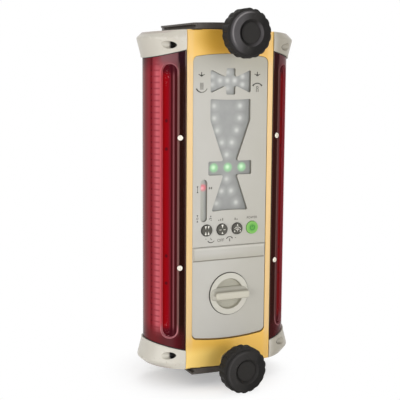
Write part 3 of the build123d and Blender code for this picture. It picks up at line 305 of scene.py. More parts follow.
# Latch: a pale disc with two sunk pockets, and a grip fin rubbed paler along its crest. Painted shade lies on
# the fin's upper side, in the pockets and along their edges; the dark joint round the disc is deepened by
# painted shade, less at its lower right
latch = {"tones": (srgb(196, 193, 181), srgb(181, 178, 169)), "toneShare": 0.3, "grain": (0.5, 2.0, 0.6),
         "rough": (0.46, 0.12), "bump": (0.04, 0.4),
         "side": (0.85, srgb(138, 134, 119)), "sideOut": (3.0, 8.0), "sideUp": (-1.0, 1.0),
         "crest": (1.0, srgb(190, 186, 170)), "crestOut": (8.2, 10.0), "crestRough": -0.08,
         "pocketShade": (0.9, srgb(162, 159, 144)), "pocketIn": (0.3, 1.5), "pocketEdge": (16.2, 16.6),
         "lip": (0.6, srgb(138, 134, 119)), "lipAt": (16.1, 0.3, 0.9), "finOut": (0.2, 0.7),
         "rim": (1.0, srgb(62, 60, 52)), "rimEdge": (21.2, 21.8), "rimLit": (-2.0, 16.0), "rimLoss": 0.7}


def latchGrip():
    f, c = Finish("latchGrey"), latch
    grain = f.noise(*c["grain"])
    out = body["frontY"] - f.y          # height in front of the disc
    up = f.z - body["latchZ"]
    far = length(f.x, up)
    crest = out.ease(*c["crestOut"])
    flat = out.fade(*c["finOut"])
    # painted shade on the fin's upper side
    side = out.ease(*c["sideOut"]) * (1 - crest) * up.ease(*c["sideUp"])
    # painted shade in the sunk pockets
    pocketShade = (f.y - body["frontY"]).ease(*c["pocketIn"]) * far.fade(*c["pocketEdge"])
    # dark joint round the disc, with painted shade that weakens towards its lower right
    lowerRight = f.x * 0.8 - up * 0.5
    rim = far.ease(*c["rimEdge"]) * flat * (1 - lowerRight.ease(*c["rimLit"]) * c["rimLoss"])
    colour = f.over(f.mix(grain * c["toneShare"], *c["tones"]), (side, c["side"]), (crest, c["crest"]),
                    # painted shade along the pockets' edges
                    (pocketShade, c["pocketShade"]), (far.near(*c["lipAt"]) * flat, c["lip"]), (rim, c["rim"]))
    f.skin(colour, grain, c["rough"], c["bump"], crest * c["crestRough"])
    f.give("door_latch")


# Painted end castings: orange peel, paler where the crest is rubbed; painted shade on the right-hand side, in a
# band under the crowned end towards the sides and down the screws' bores, and painted light on the lower cap
capPaint = {"tones": (srgb(186, 180, 167), srgb(197, 192, 180)), "patch": (45.0, 3.0), "peel": (2.2, 2.0, 0.45),
            "rough": (0.36, 0.12), "bump": (0.08, 0.3), "coat": 0.15, "coatRoughness": 0.2, "crestZ": 163.5,
            "rub": (0.4, srgb(216, 212, 203)), "rubBy": (0.5, 3.0), "rubPatch": (0.45, 0.65, 6.0, 4.0, 0.7),
            "dull": (0.4, srgb(174, 166, 152)), "dullPatch": (0.58, 0.75, 9.0, 5.0, 0.75), "dullRough": 0.1,
            "paintedLight": (0.45, srgb(218, 214, 202)), "paintedLightDown": (-10.0, 10.0),
            "fleck": (0.4, srgb(150, 143, 127)), "fleckBy": (2.0, 7.0),
            "fleckPatch": (0.62, 0.68, 2.6, 3.0, 0.6),
            "shade": (0.75, srgb(150, 143, 127)), "shadeAcross": (46.0, 56.0),
            "bevelShade": (0.6, srgb(168, 156, 148)), "bevelDeep": (1.9, 2.5), "bevelOut": (57.0, 68.0),
            "bore": (1.0, srgb(9, 8, 7)), "boreZ": 156.0, "boreIn": 6.0, "boreEdge": (3.85, 4.15),
            "boreOut": (61.4, 63.8)}


def paintedCaps():
    f, c = Finish("paintedCaps"), capPaint
    out, high = abs(f.x), abs(f.z)
    peel = f.noise(*c["peel"])
    crest = abs(high - c["crestZ"])
    rub = crest.fade(*c["rubBy"]) * f.patches(*c["rubPatch"])
    dull = f.patches(*c["dullPatch"])
    fleck = crest.fade(*c["fleckBy"]) * f.patches(*c["fleckPatch"])
    below = body["crownZ"] - f.x * f.x / (2 * body["crownR"]) - high          # depth under the crowned end
    # painted shade of an edge bevel: a band under the crowned end towards the sides
    bevelShade = below.fade(*c["bevelDeep"]) * out.ease(*c["bevelOut"])
    # painted shade down the screws' bores, near black towards their deep ends
    bore = length(high - c["boreZ"], f.y - body["frontY"] - c["boreIn"]).fade(*c["boreEdge"])
    colour = f.over(f.mix(f.noise(*c["patch"]), *c["tones"]), (rub, c["rub"]), (dull, c["dull"]),
                    # painted light: the lower cap made paler
                    (f.z.fade(*c["paintedLightDown"]), c["paintedLight"]), (fleck, c["fleck"]),
                    # painted shade on the right-hand side
                    (f.x.ease(*c["shadeAcross"]), c["shade"]), (bevelShade, c["bevelShade"]),
                    (bore * out.fade(*c["boreOut"]), c["bore"]))
    f.skin(colour, peel, c["rough"], c["bump"], dull * c["dullRough"], coat=c["coat"],
           coatRoughness=c["coatRoughness"])
    f.give("top_cap", "bottom_cap")


# Red filter tubes. The angle round the tube counts from its front; a rounded box in the unrolled wall gives the
# distance to the slot's edge: length(max(q, 0)) + min(max(q), 0) - r, with q = |p| - half size + r. The lists
# give the tone at each angle for the wall, for its two ends and for the slot's floor; they paint what shows
# through the filter, with painted reflections, sheen and glow among its bands.
filterRed = {
    "wall": ((7.5, (95, 65, 35)), (10.0, (115, 85, 75)), (13.0, (36, 10, 4)), (20.8, (36, 10, 4)),
             (22.4, (130, 92, 88)), (24.2, (118, 84, 80)), (25.4, (110, 40, 48)), (50.5, (196, 78, 88)),
             (59.0, (208, 104, 112)), (64.0, (175, 66, 75)), (70.5, (124, 14, 24)), (76.0, (150, 46, 56)),
             (86.0, (128, 50, 54)), (100.0, (130, 78, 78)), (106.0, (70, 40, 40))),
    "upper": ((7.5, (92, 64, 32)), (9.5, (124, 110, 106)), (11.8, (120, 104, 100)), (13.2, (38, 14, 22)),
              (22.4, (40, 14, 24)), (25.4, (118, 78, 82)), (48.0, (130, 84, 88)), (60.0, (146, 60, 68)),
              (66.0, (140, 52, 60)), (69.0, (92, 20, 28)), (75.0, (112, 34, 42)), (90.0, (84, 38, 42)),
              (104.0, (52, 24, 26))),
    "lower": ((8.0, (44, 24, 14)), (13.0, (62, 20, 22)), (20.0, (72, 16, 20)), (25.0, (84, 20, 28)),
              (36.0, (94, 44, 48)), (48.0, (98, 40, 44)), (62.0, (118, 40, 44)), (80.0, (110, 36, 40)),
              (92.0, (104, 56, 58)), (104.0, (58, 26, 28))),
    "slot": ((24.0, (72, 18, 22)), (29.0, (66, 12, 16)), (30.6, (140, 84, 88)), (31.6, (110, 50, 54)),
             (34.4, (62, 6, 10)), (37.0, (112, 26, 36)), (41.5, (138, 2, 18)), (46.0, (142, 0, 8)),
             (51.0, (126, 0, 2))),
    "widest": 120, "endUp": (122.0, 139.0), "endShift": 5.0, "endSwap": (-20.0, 20.0),
    "rung": (0.65, srgb(150, 52, 64)), "rungTurn": (53.5, 68.0), "rungPitch": 5.9, "rungCut": (0.35, 0.95),
    "foot": (0.5, srgb(66, 10, 22)), "footTurn": (68.5, 72.0),
    "slotMid": 37.5, "slotHalf": (8.75, 138.0), "slotRound": 8.2, "slotEdge": (-0.9, -0.4),
    "slotEnd": (0.85, srgb(66, 10, 22)), "slotEndUp": (125.0, 132.0),
    "glint": (0.6, srgb(196, 126, 132)), "glintPatch": (0.6, 0.68, 1.6, 2.0, 0.7), "glintUp": (114.0, 122.0),
    "glintTurn": (38.0, 46.0),
    "head": (0.75, srgb(66, 10, 22)), "headZ": (54.0, 82.0), "headTurn": 44.0, "headSize": (0.9, 2.5),
    "rim": (1.0, srgb(196, 126, 132)), "rimBy": (0.35, 0.9), "rimUp": (122.0, 131.0), "rimLevel": (0.85, 0.55),
    "far": (0.45, srgb(56, 16, 10)), "streak": (1.2, 3.0, 0.6, (1, 1, 0.04)), "rough": (0.16, 0.08),
    "slotRough": 0.5, "specular": 0.05, "solid": (0.9, 0.08), "tint": (0.93, 0.42, 0.46, 1.0)}


def redWindows():
    f, c = Finish("redFilter"), filterRed
    high = abs(f.z)
    across = abs(f.x) - body["tubeX"]
    turn = across.calc("ARCTAN2", across, body["tubeY"] - f.y) * (180 / pi)
    perDegree = pi / 180 * body["tubeR"]                         # millimetres of wall

    def tones(name):
        stops = [(at / c["widest"], srgb(*tone)) for at, tone in c[name]]
        return f.add("ShaderNodeValToRGB", {"stops": stops}, {"Fac": turn / c["widest"]})

    def band(turns, soft=1.0):
        start, stop = turns
        return turn.ease(start - soft, start + soft) * turn.fade(stop - soft, stop + soft)

    rungs = (f.z * (2 * pi / c["rungPitch"])).wave().ease(*c["rungCut"])
    ends = f.mix(f.z.ease(*c["endSwap"]), tones("lower"), tones("upper"))
    atEnd = (high - c["endShift"] * f.z.ease(-1.0, 1.0)).ease(*c["endUp"])
    wall = f.over(tones("wall"), (rungs * band(c["rungTurn"]), c["rung"]),
                  (rungs * band(c["footTurn"]), c["foot"]), (atEnd, (1.0, ends)))
    side = abs((turn - c["slotMid"]) * perDegree) - (c["slotHalf"][0] - c["slotRound"])
    end = high - (c["slotHalf"][1] - c["slotRound"])
    gap = length(side.most(0.0), end.most(0.0)) + side.most(end).least(0.0) - c["slotRound"]
    sunk = gap.fade(*c["slotEdge"])
    # painted glints near the slot's ends
    glint = f.patches(*c["glintPatch"]) * high.ease(*c["glintUp"]) * band(c["glintTurn"], 2.0)
    floor = f.over(tones("slot"), (high.ease(*c["slotEndUp"]), c["slotEnd"]), (glint, c["glint"]))
    for height in c["headZ"]:            # dark heads behind the filter
        head = length((turn - c["headTurn"]) * perDegree, high - height).fade(*c["headSize"])
        floor = f.over(floor, (head, c["head"]))
    level, loss = c["rimLevel"]
    # painted highlight along the slot's edge near its ends, stronger at the lower end
    rim = abs(gap).fade(*c["rimBy"]) * high.ease(*c["rimUp"]) * (level - f.z.ease(-10.0, 10.0) * loss)
    # the right-hand window is darkened with painted shade
    colour = f.over(wall, (sunk, (1.0, floor)), (rim, c["rim"]), (f.x.ease(-10.0, 10.0), c["far"]))
    f.skin(colour, f.noise(*c["streak"]), c["rough"], None, sunk * c["slotRough"], specular=c["specular"])
    f.seeThrough(c["solid"][0] + sunk * c["solid"][1], c["tint"])
    f.give("left_window", "right_window")


# Finishes of two tones and one grain; the tones follow the patch, or the grain where there is none
def plainFinish(name, tones, grain, rough, patch=None, bump=None, metallic=0.0, nodes=()):
    f = Finish(name)
    fine = f.noise(*grain)
    f.skin(f.mix(f.noise(*patch) if patch else fine, *tones), fine, rough, bump, metallic=metallic)
    return f.give(*nodes)


plainFinishes = {
    "blackRubber": {
        "tones": (srgb(20, 20, 20), srgb(38, 36, 35)), "grain": (0.6, 3.0, 0.65), "rough": (0.72, 0.15),
        "bump": (0.05, 0.5), "nodes": ("window_seals", "door_seal", "saddle_liner")},
    "platedScrews": {
        "tones": (srgb(226, 220, 206), srgb(248, 242, 228)), "grain": (0.35, 2.0, 0.6), "patch": (3.0, 3.0),
        "rough": (0.24, 0.16), "bump": (0.02, 0.3), "metallic": 0.6,
        "nodes": ("window_screws", "cap_screws", "housing_screws", "board_screws", "sensor_screws",
                  "tray_screws", "saddle_screws", "latch_screw", "top_nut_screws", "bottom_nut_screws")},
    "blackPlastic": {
        "tones": (srgb(26, 25, 25), srgb(44, 42, 41)), "grain": (0.6, 2.0, 0.6), "rough": (0.46, 0.14),
        "bump": (0.04, 0.4), "nodes": ("key_switches", "battery_tray")},
    "springBrass": {
        "tones": (srgb(196, 168, 106), srgb(222, 200, 146)), "grain": (2.5, 3.0), "rough": (0.26, 0.15),
        "metallic": 1.0, "nodes": ("battery_contacts",)},
    "zincSteel": {
        "tones": (srgb(168, 168, 166), srgb(200, 200, 196)), "grain": (0.5, 3.0, 0.6), "patch": (6.0, 3.0),
        "rough": (0.3, 0.18), "bump": (0.03, 0.3), "metallic": 1.0,
        "nodes": ("latch_cam", "latch_keepers", "top_washer", "bottom_washer", "top_clip", "bottom_clip",
                  "top_draw_nut", "bottom_draw_nut")}}


def plainParts():
    for name, settings in plainFinishes.items():
        plainFinish(name, **settings)


# Diffusing sheet with a painted light spot and halo over every lamp, moved aside as the deeper lamps are seen;
# painted shade darkens it towards the right, and the lit lamps' glow is painted on it
lampPlaces = {"tie": 120.8, "bar": 34.0, "pitch": 12.3, "lit": (0.0, 15.75), "level": (-29.1, 14.8),
              "rows": ((5, 14.6), (4, 14.3), (3, 11.0), (2, 5.65), (1, 0.0), (-1, 0.0), (-2, 5.4), (-3, 11.1)),
              "wings": ((0.0, 0.0), (0.0, 8.1), (8.2, 0.0), (17.0, 4.1)),
              "aside": (-2.9, 0.9), "litAside": (-1.4, 0.3), "mintAside": (-1.9, 0.8), "hotAside": (-1.0, -0.4)}
sheet = {"tones": (srgb(136, 137, 135), srgb(152, 153, 149)), "patch": (9.0, 2.0), "roughness": 0.3,
         "specular": 0.4, "solid": 0.94, "tint": (0.9, 0.9, 0.89, 1.0), "glowStrength": 0.9,
         "edge": (0.5, srgb(104, 104, 100)), "edgeAcross": (-4.0, 26.0),
         "slot": (1.0, srgb(176, 176, 166)), "slotAcross": (-30.5, -25.8), "slotUp": (36.0, 40.0),
         "halo": (0.3, srgb(208, 209, 204)), "haloSize": (0.0, 8.5),
         "spot": (0.65, srgb(208, 209, 204)), "spotSize": (0.0, 3.6),
         "lit": (1.0, (0.02, 0.02, 0.02, 1)), "litSize": (2.8, 6.0), "green": srgb(146, 206, 148),
         "mint": srgb(208, 248, 202), "mintSize": (0.4, 3.4),
         "red": (1.0, srgb(232, 112, 122)), "redSize": (1.2, 5.0),
         "hot": (0.7, srgb(248, 194, 202)), "hotSize": (0.0, 2.8)}


def displayLens():
    f, c, p = Finish("diffuserSheet"), sheet, lampPlaces

    def spots(places, size, aside=(0.0, 0.0)):
        found = None
        for x, z in places:
            across = abs(f.x - aside[0]) - x if x > 0 else f.x - aside[0] - x
            spot = length(across, f.z - aside[1] - z).fade(*size)
            found = spot if found is None else found.most(spot)
        return found

    unlit = [(x, p["tie"] + sign * z) for x, z in p["wings"] for sign in ((-1, 1) if z else (1,))]
    unlit += [(x, p["bar"] + row * p["pitch"]) for row, x in p["rows"]]
    lit = [(x, p["bar"]) for x in p["lit"]]
    green = spots(lit, c["litSize"], p["litAside"])
    red = spots([p["level"]], c["redSize"])
    slot = f.x.fade(*c["slotAcross"]) * f.z.fade(*c["slotUp"])                # paler in the level slot
    # painted shade towards the right, painted light spots and halos over the unlit lamps, black under the lit
    # ones
    colour = f.over(f.mix(f.noise(*c["patch"]), *c["tones"]), (f.x.ease(*c["edgeAcross"]), c["edge"]),
                    (slot, c["slot"]), (spots(unlit, c["haloSize"], p["aside"]), c["halo"]),
                    (spots(unlit, c["spotSize"], p["aside"]), c["spot"]), (green.most(red), c["lit"]))
    # the lit lamps' glow painted on the sheet: green with a paler core, red with a paler hot spot
    light = f.mix(green, black, f.mix(spots(lit, c["mintSize"], p["mintAside"]), c["green"], c["mint"]))
    light = f.over(light, (red, c["red"]), (spots([p["level"]], c["hotSize"], p["hotAside"]), c["hot"]))
    f.set(colour=colour, roughness=c["roughness"], glow=light, glowStrength=c["glowStrength"],
          specular=c["specular"])
    f.seeThrough(c["solid"], c["tint"])
    f.give("display_lens")


# Lamps: unlit ones with a faint painted glow, lit green, and the level column with its upper lamp lit red
clearLamp = {"tones": (srgb(232, 232, 226), srgb(246, 246, 242)), "patch": (2.0, 2.0), "roughness": 0.22,
             "glow": srgb(235, 235, 228), "glowStrength": 0.25}
greenLamp = {"tones": (srgb(120, 240, 140), srgb(200, 250, 205)), "patch": (1.5, 2.0), "roughness": 0.25,
             "glows": (srgb(150, 255, 165), srgb(215, 255, 215)), "glowStrength": 1.4}
levelLamp = {"tones": (srgb(170, 166, 160), srgb(190, 186, 178)), "patch": (1.5, 2.0), "roughness": 0.3,
             "lit": srgb(240, 130, 140), "litUp": (11.0, 12.0), "glow": srgb(255, 130, 140),
             "glowStrength": 1.1}


def lamps():
    f, c = Finish("clearLamp"), clearLamp
    # a faint painted glow on the unlit lamps
    f.set(colour=f.mix(f.noise(*c["patch"]), *c["tones"]), roughness=c["roughness"], glow=c["glow"],
          glowStrength=c["glowStrength"])
    f.give("plumb_leds", "grade_leds")
    f, c = Finish("litGreenLamp"), greenLamp
    patch = f.noise(*c["patch"])
    f.set(colour=f.mix(patch, *c["tones"]), roughness=c["roughness"], glow=f.mix(patch, *c["glows"]),
          glowStrength=c["glowStrength"])
    f.give("on_grade_leds")
    f, c = Finish("levelLamp"), levelLamp
    lit = f.z.ease(*c["litUp"])
    f.set(colour=f.mix(lit, f.mix(f.noise(*c["patch"]), *c["tones"]), c["lit"]), roughness=c["roughness"],
          glow=f.mix(lit, black, c["glow"]), glowStrength=c["glowStrength"])
    f.give("level_leds")


# Circuit boards: solder mask with tracks from two crossed square waves, in patches along and across
boardTone = {"controlBoard": (srgb(150, 151, 148), srgb(170, 171, 167), ("control_board",)),
             "sensorBoard": (srgb(60, 24, 26), srgb(92, 44, 44), ("left_sensor_board", "right_sensor_board"))}
tracks = {"alongPitch": 2.6, "alongCut": (0.80, 0.95), "acrossPitch": 4.2, "acrossCut": (0.82, 0.95),
          "alongPatch": (0.45, 0.5, 11.0, 1.0), "grain": (0.5, 2.0), "rough": (0.38, 0.1), "bump": (0.03, 0.5)}


def boards():
    c = tracks
    for name, (mask, track, nodes) in boardTone.items():
        f = Finish(name)
        along = (f.z * (2 * pi / c["alongPitch"])).wave().ease(*c["alongCut"])
        across = ((f.x + f.y) * (2 * pi / c["acrossPitch"])).wave().ease(*c["acrossCut"])
        gate = f.patches(*c["alongPatch"])
        lines = along * gate + across * (1 - gate)
        f.skin(f.mix(lines, mask, track), f.noise(*c["grain"]), c["rough"], normal=f.bump(lines, *c["bump"]))
        f.give(*nodes)


# Photodiodes: pale cells with darker gaps between them
diode = {"pitch": 5.5, "tones": (srgb(236, 226, 224), srgb(250, 244, 242)), "patch": (0.8, 2.0),
         "gap": srgb(120, 92, 92), "gapFrom": (0.30, 0.37), "roughness": 0.25, "coat": 0.4}


def photodiodes():
    f, c = Finish("photodiode"), diode
    gap = abs((f.z / c["pitch"]).fraction() - 0.5).ease(*c["gapFrom"])
    f.set(colour=f.mix(gap, f.mix(f.noise(*c["patch"]), *c["tones"]), c["gap"]), roughness=c["roughness"],
          coat=c["coat"])
    f.give("left_photodiodes", "right_photodiodes")


# Keys: dark caps with a darker rim, and the green power key, paler towards its edge
keyCaps = {"left_button": -25.8, "middle_button": -8.6, "right_button": 8.6}
keyRow = {"z": -28.7, "powerX": 25.8, "top": -104.05}
darkKey = {"tones": (srgb(56, 54, 46), srgb(74, 71, 60)), "rim": (0.7, srgb(38, 36, 32)), "rimEdge": (5.0, 5.7),
           "grain": (0.4, 2.0, 0.6), "rough": (0.5, 0.12), "bump": (0.03, 0.4)}
greenKey = {"tones": (srgb(82, 160, 46), srgb(120, 180, 82)), "edge": (2.0, 6.2),
            "speck": (0.2, srgb(68, 142, 42)), "grain": (0.4, 2.0, 0.6), "rough": (0.42, 0.1),
            "bump": (0.03, 0.35)}


def keys():
    f, c = Finish("keyRubber"), darkKey
    near = None
    for x in keyCaps.values():
        far = length(f.x - x, f.z - keyRow["z"])
        near = far if near is None else near.least(far)
    grain = f.noise(*c["grain"])
    colour = f.over(f.mix(grain, *c["tones"]), (near.ease(*c["rimEdge"]), c["rim"]))
    f.skin(colour, grain, c["rough"], c["bump"])
    f.give(*keyCaps)
    f, c = Finish("greenKey"), greenKey
    far = length(f.x - keyRow["powerX"], f.z - keyRow["z"])
    grain = f.noise(*c["grain"])
    f.skin(f.over(f.mix(far.ease(*c["edge"]), *c["tones"]), (grain, c["speck"])), grain, c["rough"], c["bump"])
    f.give("power_button")


# Charcoal knobs: the disc catches light at its upper left, the well's wall at its right
knob = {"z": 167.0, "tones": (srgb(33, 32, 31), srgb(50, 48, 46)), "grain": (0.55, 3.0, 0.6),
        "rough": (0.5, 0.16), "bump": (0.05, 0.45), "specular": 0.09,
        "worn": (0.3, srgb(70, 68, 67)), "wornPatch": (0.52, 0.72, 7.0, 4.0, 0.7), "wornOut": (40.0, 43.0),
        "faceOut": (38.0, 40.0), "lowerShare": 0.12, "disc": (12.8, 13.4), "well": (7.0, 9.5),
        "leftLit": (0.0, 14.0), "cornerLit": (4.0, 16.0), "rightLit": (0.0, 10.0),
        "wellShade": (0.6, srgb(14, 13, 13)), "discShade": (0.6, srgb(14, 13, 13)),
        "discLight": (0.42, srgb(104, 101, 103)), "edgeLight": (0.45, srgb(160, 156, 156)),
        "edgeAt": (19.5, 0.3, 1.1), "wallLight": (0.5, srgb(104, 101, 103)), "wallAt": (11.7, 0.7, 1.7)}


def knobs():
    f, c = Finish("knobPlastic"), knob
    out = body["frontY"] - f.y
    grain = f.noise(*c["grain"])
    worn = f.patches(*c["wornPatch"]) * out.ease(*c["wornOut"])
    upper = f.z.ease(-1.0, 1.0)
    up = f.z - (upper * 2 - 1) * c["z"]
    far = length(f.x, up)
    left = (up * 0.2 - f.x * 0.98).ease(*c["leftLit"])           # sides of the disc, by their directions
    corner = (up * 0.5 - f.x * 0.87).ease(*c["cornerLit"])
    right = (f.x * 0.94 - up * 0.34).ease(*c["rightLit"])
    face = out.ease(*c["faceOut"])
    lit = (upper * (1 - c["lowerShare"]) + c["lowerShare"]) * face      # the lower knob lies in more shade
    disc = far.ease(*c["disc"])
    well = far.ease(*c["well"]) * (1 - disc)
    colour = f.over(f.mix(grain, *c["tones"]), (worn, c["worn"]), (well * left * lit, c["wellShade"]),
                    (disc * right * face, c["discShade"]), (disc * left * lit, c["discLight"]),
                    (far.near(*c["edgeAt"]) * corner * lit, c["edgeLight"]),
                    (far.near(*c["wallAt"]) * right * lit, c["wallLight"]))
    f.skin(colour, grain, c["rough"], c["bump"], specular=c["specular"])
    f.give("top_knob", "bottom_knob", "top_knob_cap", "bottom_knob_cap")


# Cells: dark sleeve, a copper band at the upper end, bare metal at both ends
cellWrap = {"tones": (srgb(30, 30, 33), srgb(42, 42, 46)), "grain": (0.7, 2.0), "rough": (0.28, 0.12),
            "coat": 0.3, "copper": (1.0, srgb(186, 120, 66)), "copperUp": (-81.7, -81.5), "copperMetal": 0.6,
            "bare": (1.0, srgb(206, 204, 200)), "bareUp": (-73.5, -73.3), "bareDown": (-120.6, -120.4)}


def cells():
    f, c = Finish("cellWrap"), cellWrap
    fine = f.noise(*c["grain"])
    copper = f.z.ease(*c["copperUp"])
    bare = f.z.ease(*c["bareUp"]).most(f.z.fade(*c["bareDown"]))
    colour = f.over(f.mix(fine, *c["tones"]), (copper, c["copper"]), (bare, c["bare"]))
    f.skin(colour, fine, c["rough"], metallic=bare.most(copper * c["copperMetal"]), coat=c["coat"])
    f.give("battery_cell_1", "battery_cell_2", "battery_cell_3", "battery_cell_4")


# Plated studs: the thread is a wave along Y, as colour and bump
stud = {"pitch": 1.25, "tones": (srgb(132, 132, 130), srgb(196, 196, 192)), "grain": (0.5, 2.0),
        "rough": (0.3, 0.12), "bump": (0.4, 0.8), "metallic": 1.0}


def threadedStuds():
    f, c = Finish("threadedStud"), stud
    ridge = (f.y * (2 * pi / c["pitch"])).wave()
    f.skin(f.mix(ridge.ease(-1.0, 1.0), *c["tones"]), f.noise(*c["grain"]), c["rough"], metallic=c["metallic"],
           normal=f.bump(ridge, *c["bump"]))
    f.give("top_stud", "bottom_stud")


# Black-coated plates and saddle, bare metal showing where the coat is chipped
coat = {"tones": (srgb(68, 63, 58), srgb(90, 84, 79)), "grain": (0.8, 3.0, 0.6), "rough": (0.42, 0.16),
        "bump": (0.05, 0.45), "specular": 0.35, "chip": (0.35, srgb(120, 118, 116)),
        "chipPatch": (0.66, 0.72, 5.0, 5.0, 0.75), "chipRough": -0.1}


def blackCoat():
    f, c = Finish("blackCoat"), coat
    grain = f.noise(*c["grain"])
    chip = f.patches(*c["chipPatch"])
    f.skin(f.over(f.mix(grain, *c["tones"]), (chip, c["chip"])), grain, c["rough"], c["bump"],
           chip * c["chipRough"], specular=c["specular"])
    f.give("top_clamp_plate", "bottom_clamp_plate", "mast_saddle")


for make in (yellowShell, greyPanel, latchGrip, paintedCaps, redWindows, plainParts, displayLens, lamps, boards,
             photodiodes, keys, knobs, cells, threadedStuds, blackCoat):
    make()
print("materials:", len(bpy.data.materials))


# A printed stroke: the centre line p(t) carries a four-sided profile, p plus and minus its normal times half
# the width, once under the face and once raised by the ink's thickness; the ends are closed. The widths stand
# at even steps along the line.
inkSolid = {"sunk": 0.02, "lift": 0.06, "tip": 0.08}


def stroke(path, widths, face, closed=False):
    count = len(path)
    ahead = np.roll(path, -1, 0) - np.roll(path, 1, 0)
    if not closed:
        ahead[0] = path[1] - path[0]
        ahead[-1] = path[-1] - path[-2]
    ahead /= np.linalg.norm(ahead, axis=1, keepdims=True)
    side = np.stack([-ahead[:, 1], ahead[:, 0]], 1)
    given = np.atleast_1d(widths)
    half = np.interp(np.linspace(0, 1, count), np.linspace(0, 1, len(given)), given)[:, None] / 2
    left, right = path + side * half, path - side * half
    flat = np.stack([left, right, right, left], 1)
    low, high = face + inkSolid["sunk"], face - inkSolid["lift"]
    depth = np.broadcast_to(np.array([low, low, high, high]), (count, 4))
    verts = np.stack([flat[..., 0], depth, flat[..., 1]], -1).reshape(-1, 3)
    first = np.arange(count if closed else count - 1)[:, None]
    after = (first + 1) % count
    corner = np.arange(4)[None, :]
    turned = (corner + 1) % 4
    quads = np.stack([first * 4 + corner, first * 4 + turned, after * 4 + turned, after * 4 + corner], -1)
    quads = quads.reshape(-1, 4)
    if not closed:
        ends = np.array([[3, 2, 1, 0], [0, 1, 2, 3]]) + np.array([[0], [4 * (count - 1)]])
        quads = np.concatenate([quads, ends])
    return verts, quads


def line(*points):
    return np.array(points, float)


# Points on a circle's arc; angles in degrees, counted from the right
def arc(x, z, radius, start, stop, count=17):
    turn = np.radians(np.linspace(start, stop, count))
    return np.stack([x + radius * np.cos(turn), z + radius * np.sin(turn)], 1)


# Triangle about a point, from the middle of its base to its tip
def wedge(x, z, reach, turn):
    tip = np.array([cos(radians(turn)), sin(radians(turn))]) * reach
    base = np.array([x, z]) - tip / 2
    return np.stack([base, base + tip / 2, base + tip])


# Strokes for marks about a place; each mark is its kind, the numbers of its path and its widths
def draw(marks, at, face):
    paths = {"line": line, "arc": arc, "ring": arc, "wedge": wedge}
    shapes = []
    for kind, place, widths in marks:
        if kind == "wedge":
            widths = (widths, widths / 2, inkSolid["tip"])
        shapes.append(stroke(paths[kind](*place) + np.array(at), widths, face, kind == "ring"))
    return shapes


def joinShapes(shapes):
    verts, quads, start = [], [], 0
    for v, q in shapes:
        verts.append(v)
        quads.append(q + start)
        start += len(v)
    return np.concatenate(verts), np.concatenate(quads)


def makePiece(name, verts, faces, finish, bodyName, slotName):
    mesh = bpy.data.meshes.new(name)
    mesh.from_pydata((verts * mm).tolist(), [], faces.tolist())
    work = bmesh.new()
    work.from_mesh(mesh)
    bmesh.ops.recalc_face_normals(work, faces=work.faces)
    work.to_mesh(mesh)
    work.free()
    mesh.materials.append(finish.material)
    piece = bpy.data.objects.new(name, mesh)
    scene.collection.objects.link(piece)
    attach(piece, bodyName)
    return piece


inkCoat = {"grain": (0.6, 3.0, 0.6), "rough": (0.55, 0.1)}
inkTones = {"darkInk": (srgb(46, 44, 40), srgb(70, 67, 61)), "greyInk": (srgb(92, 89, 82), srgb(116, 113, 105)),
            "whiteInk": (srgb(214, 210, 198), srgb(240, 237, 228)),
            "greenInk": (srgb(30, 112, 34), srgb(44, 132, 46))}
inks = {name: plainFinish(name, tones, **inkCoat) for name, tones in inkTones.items()}

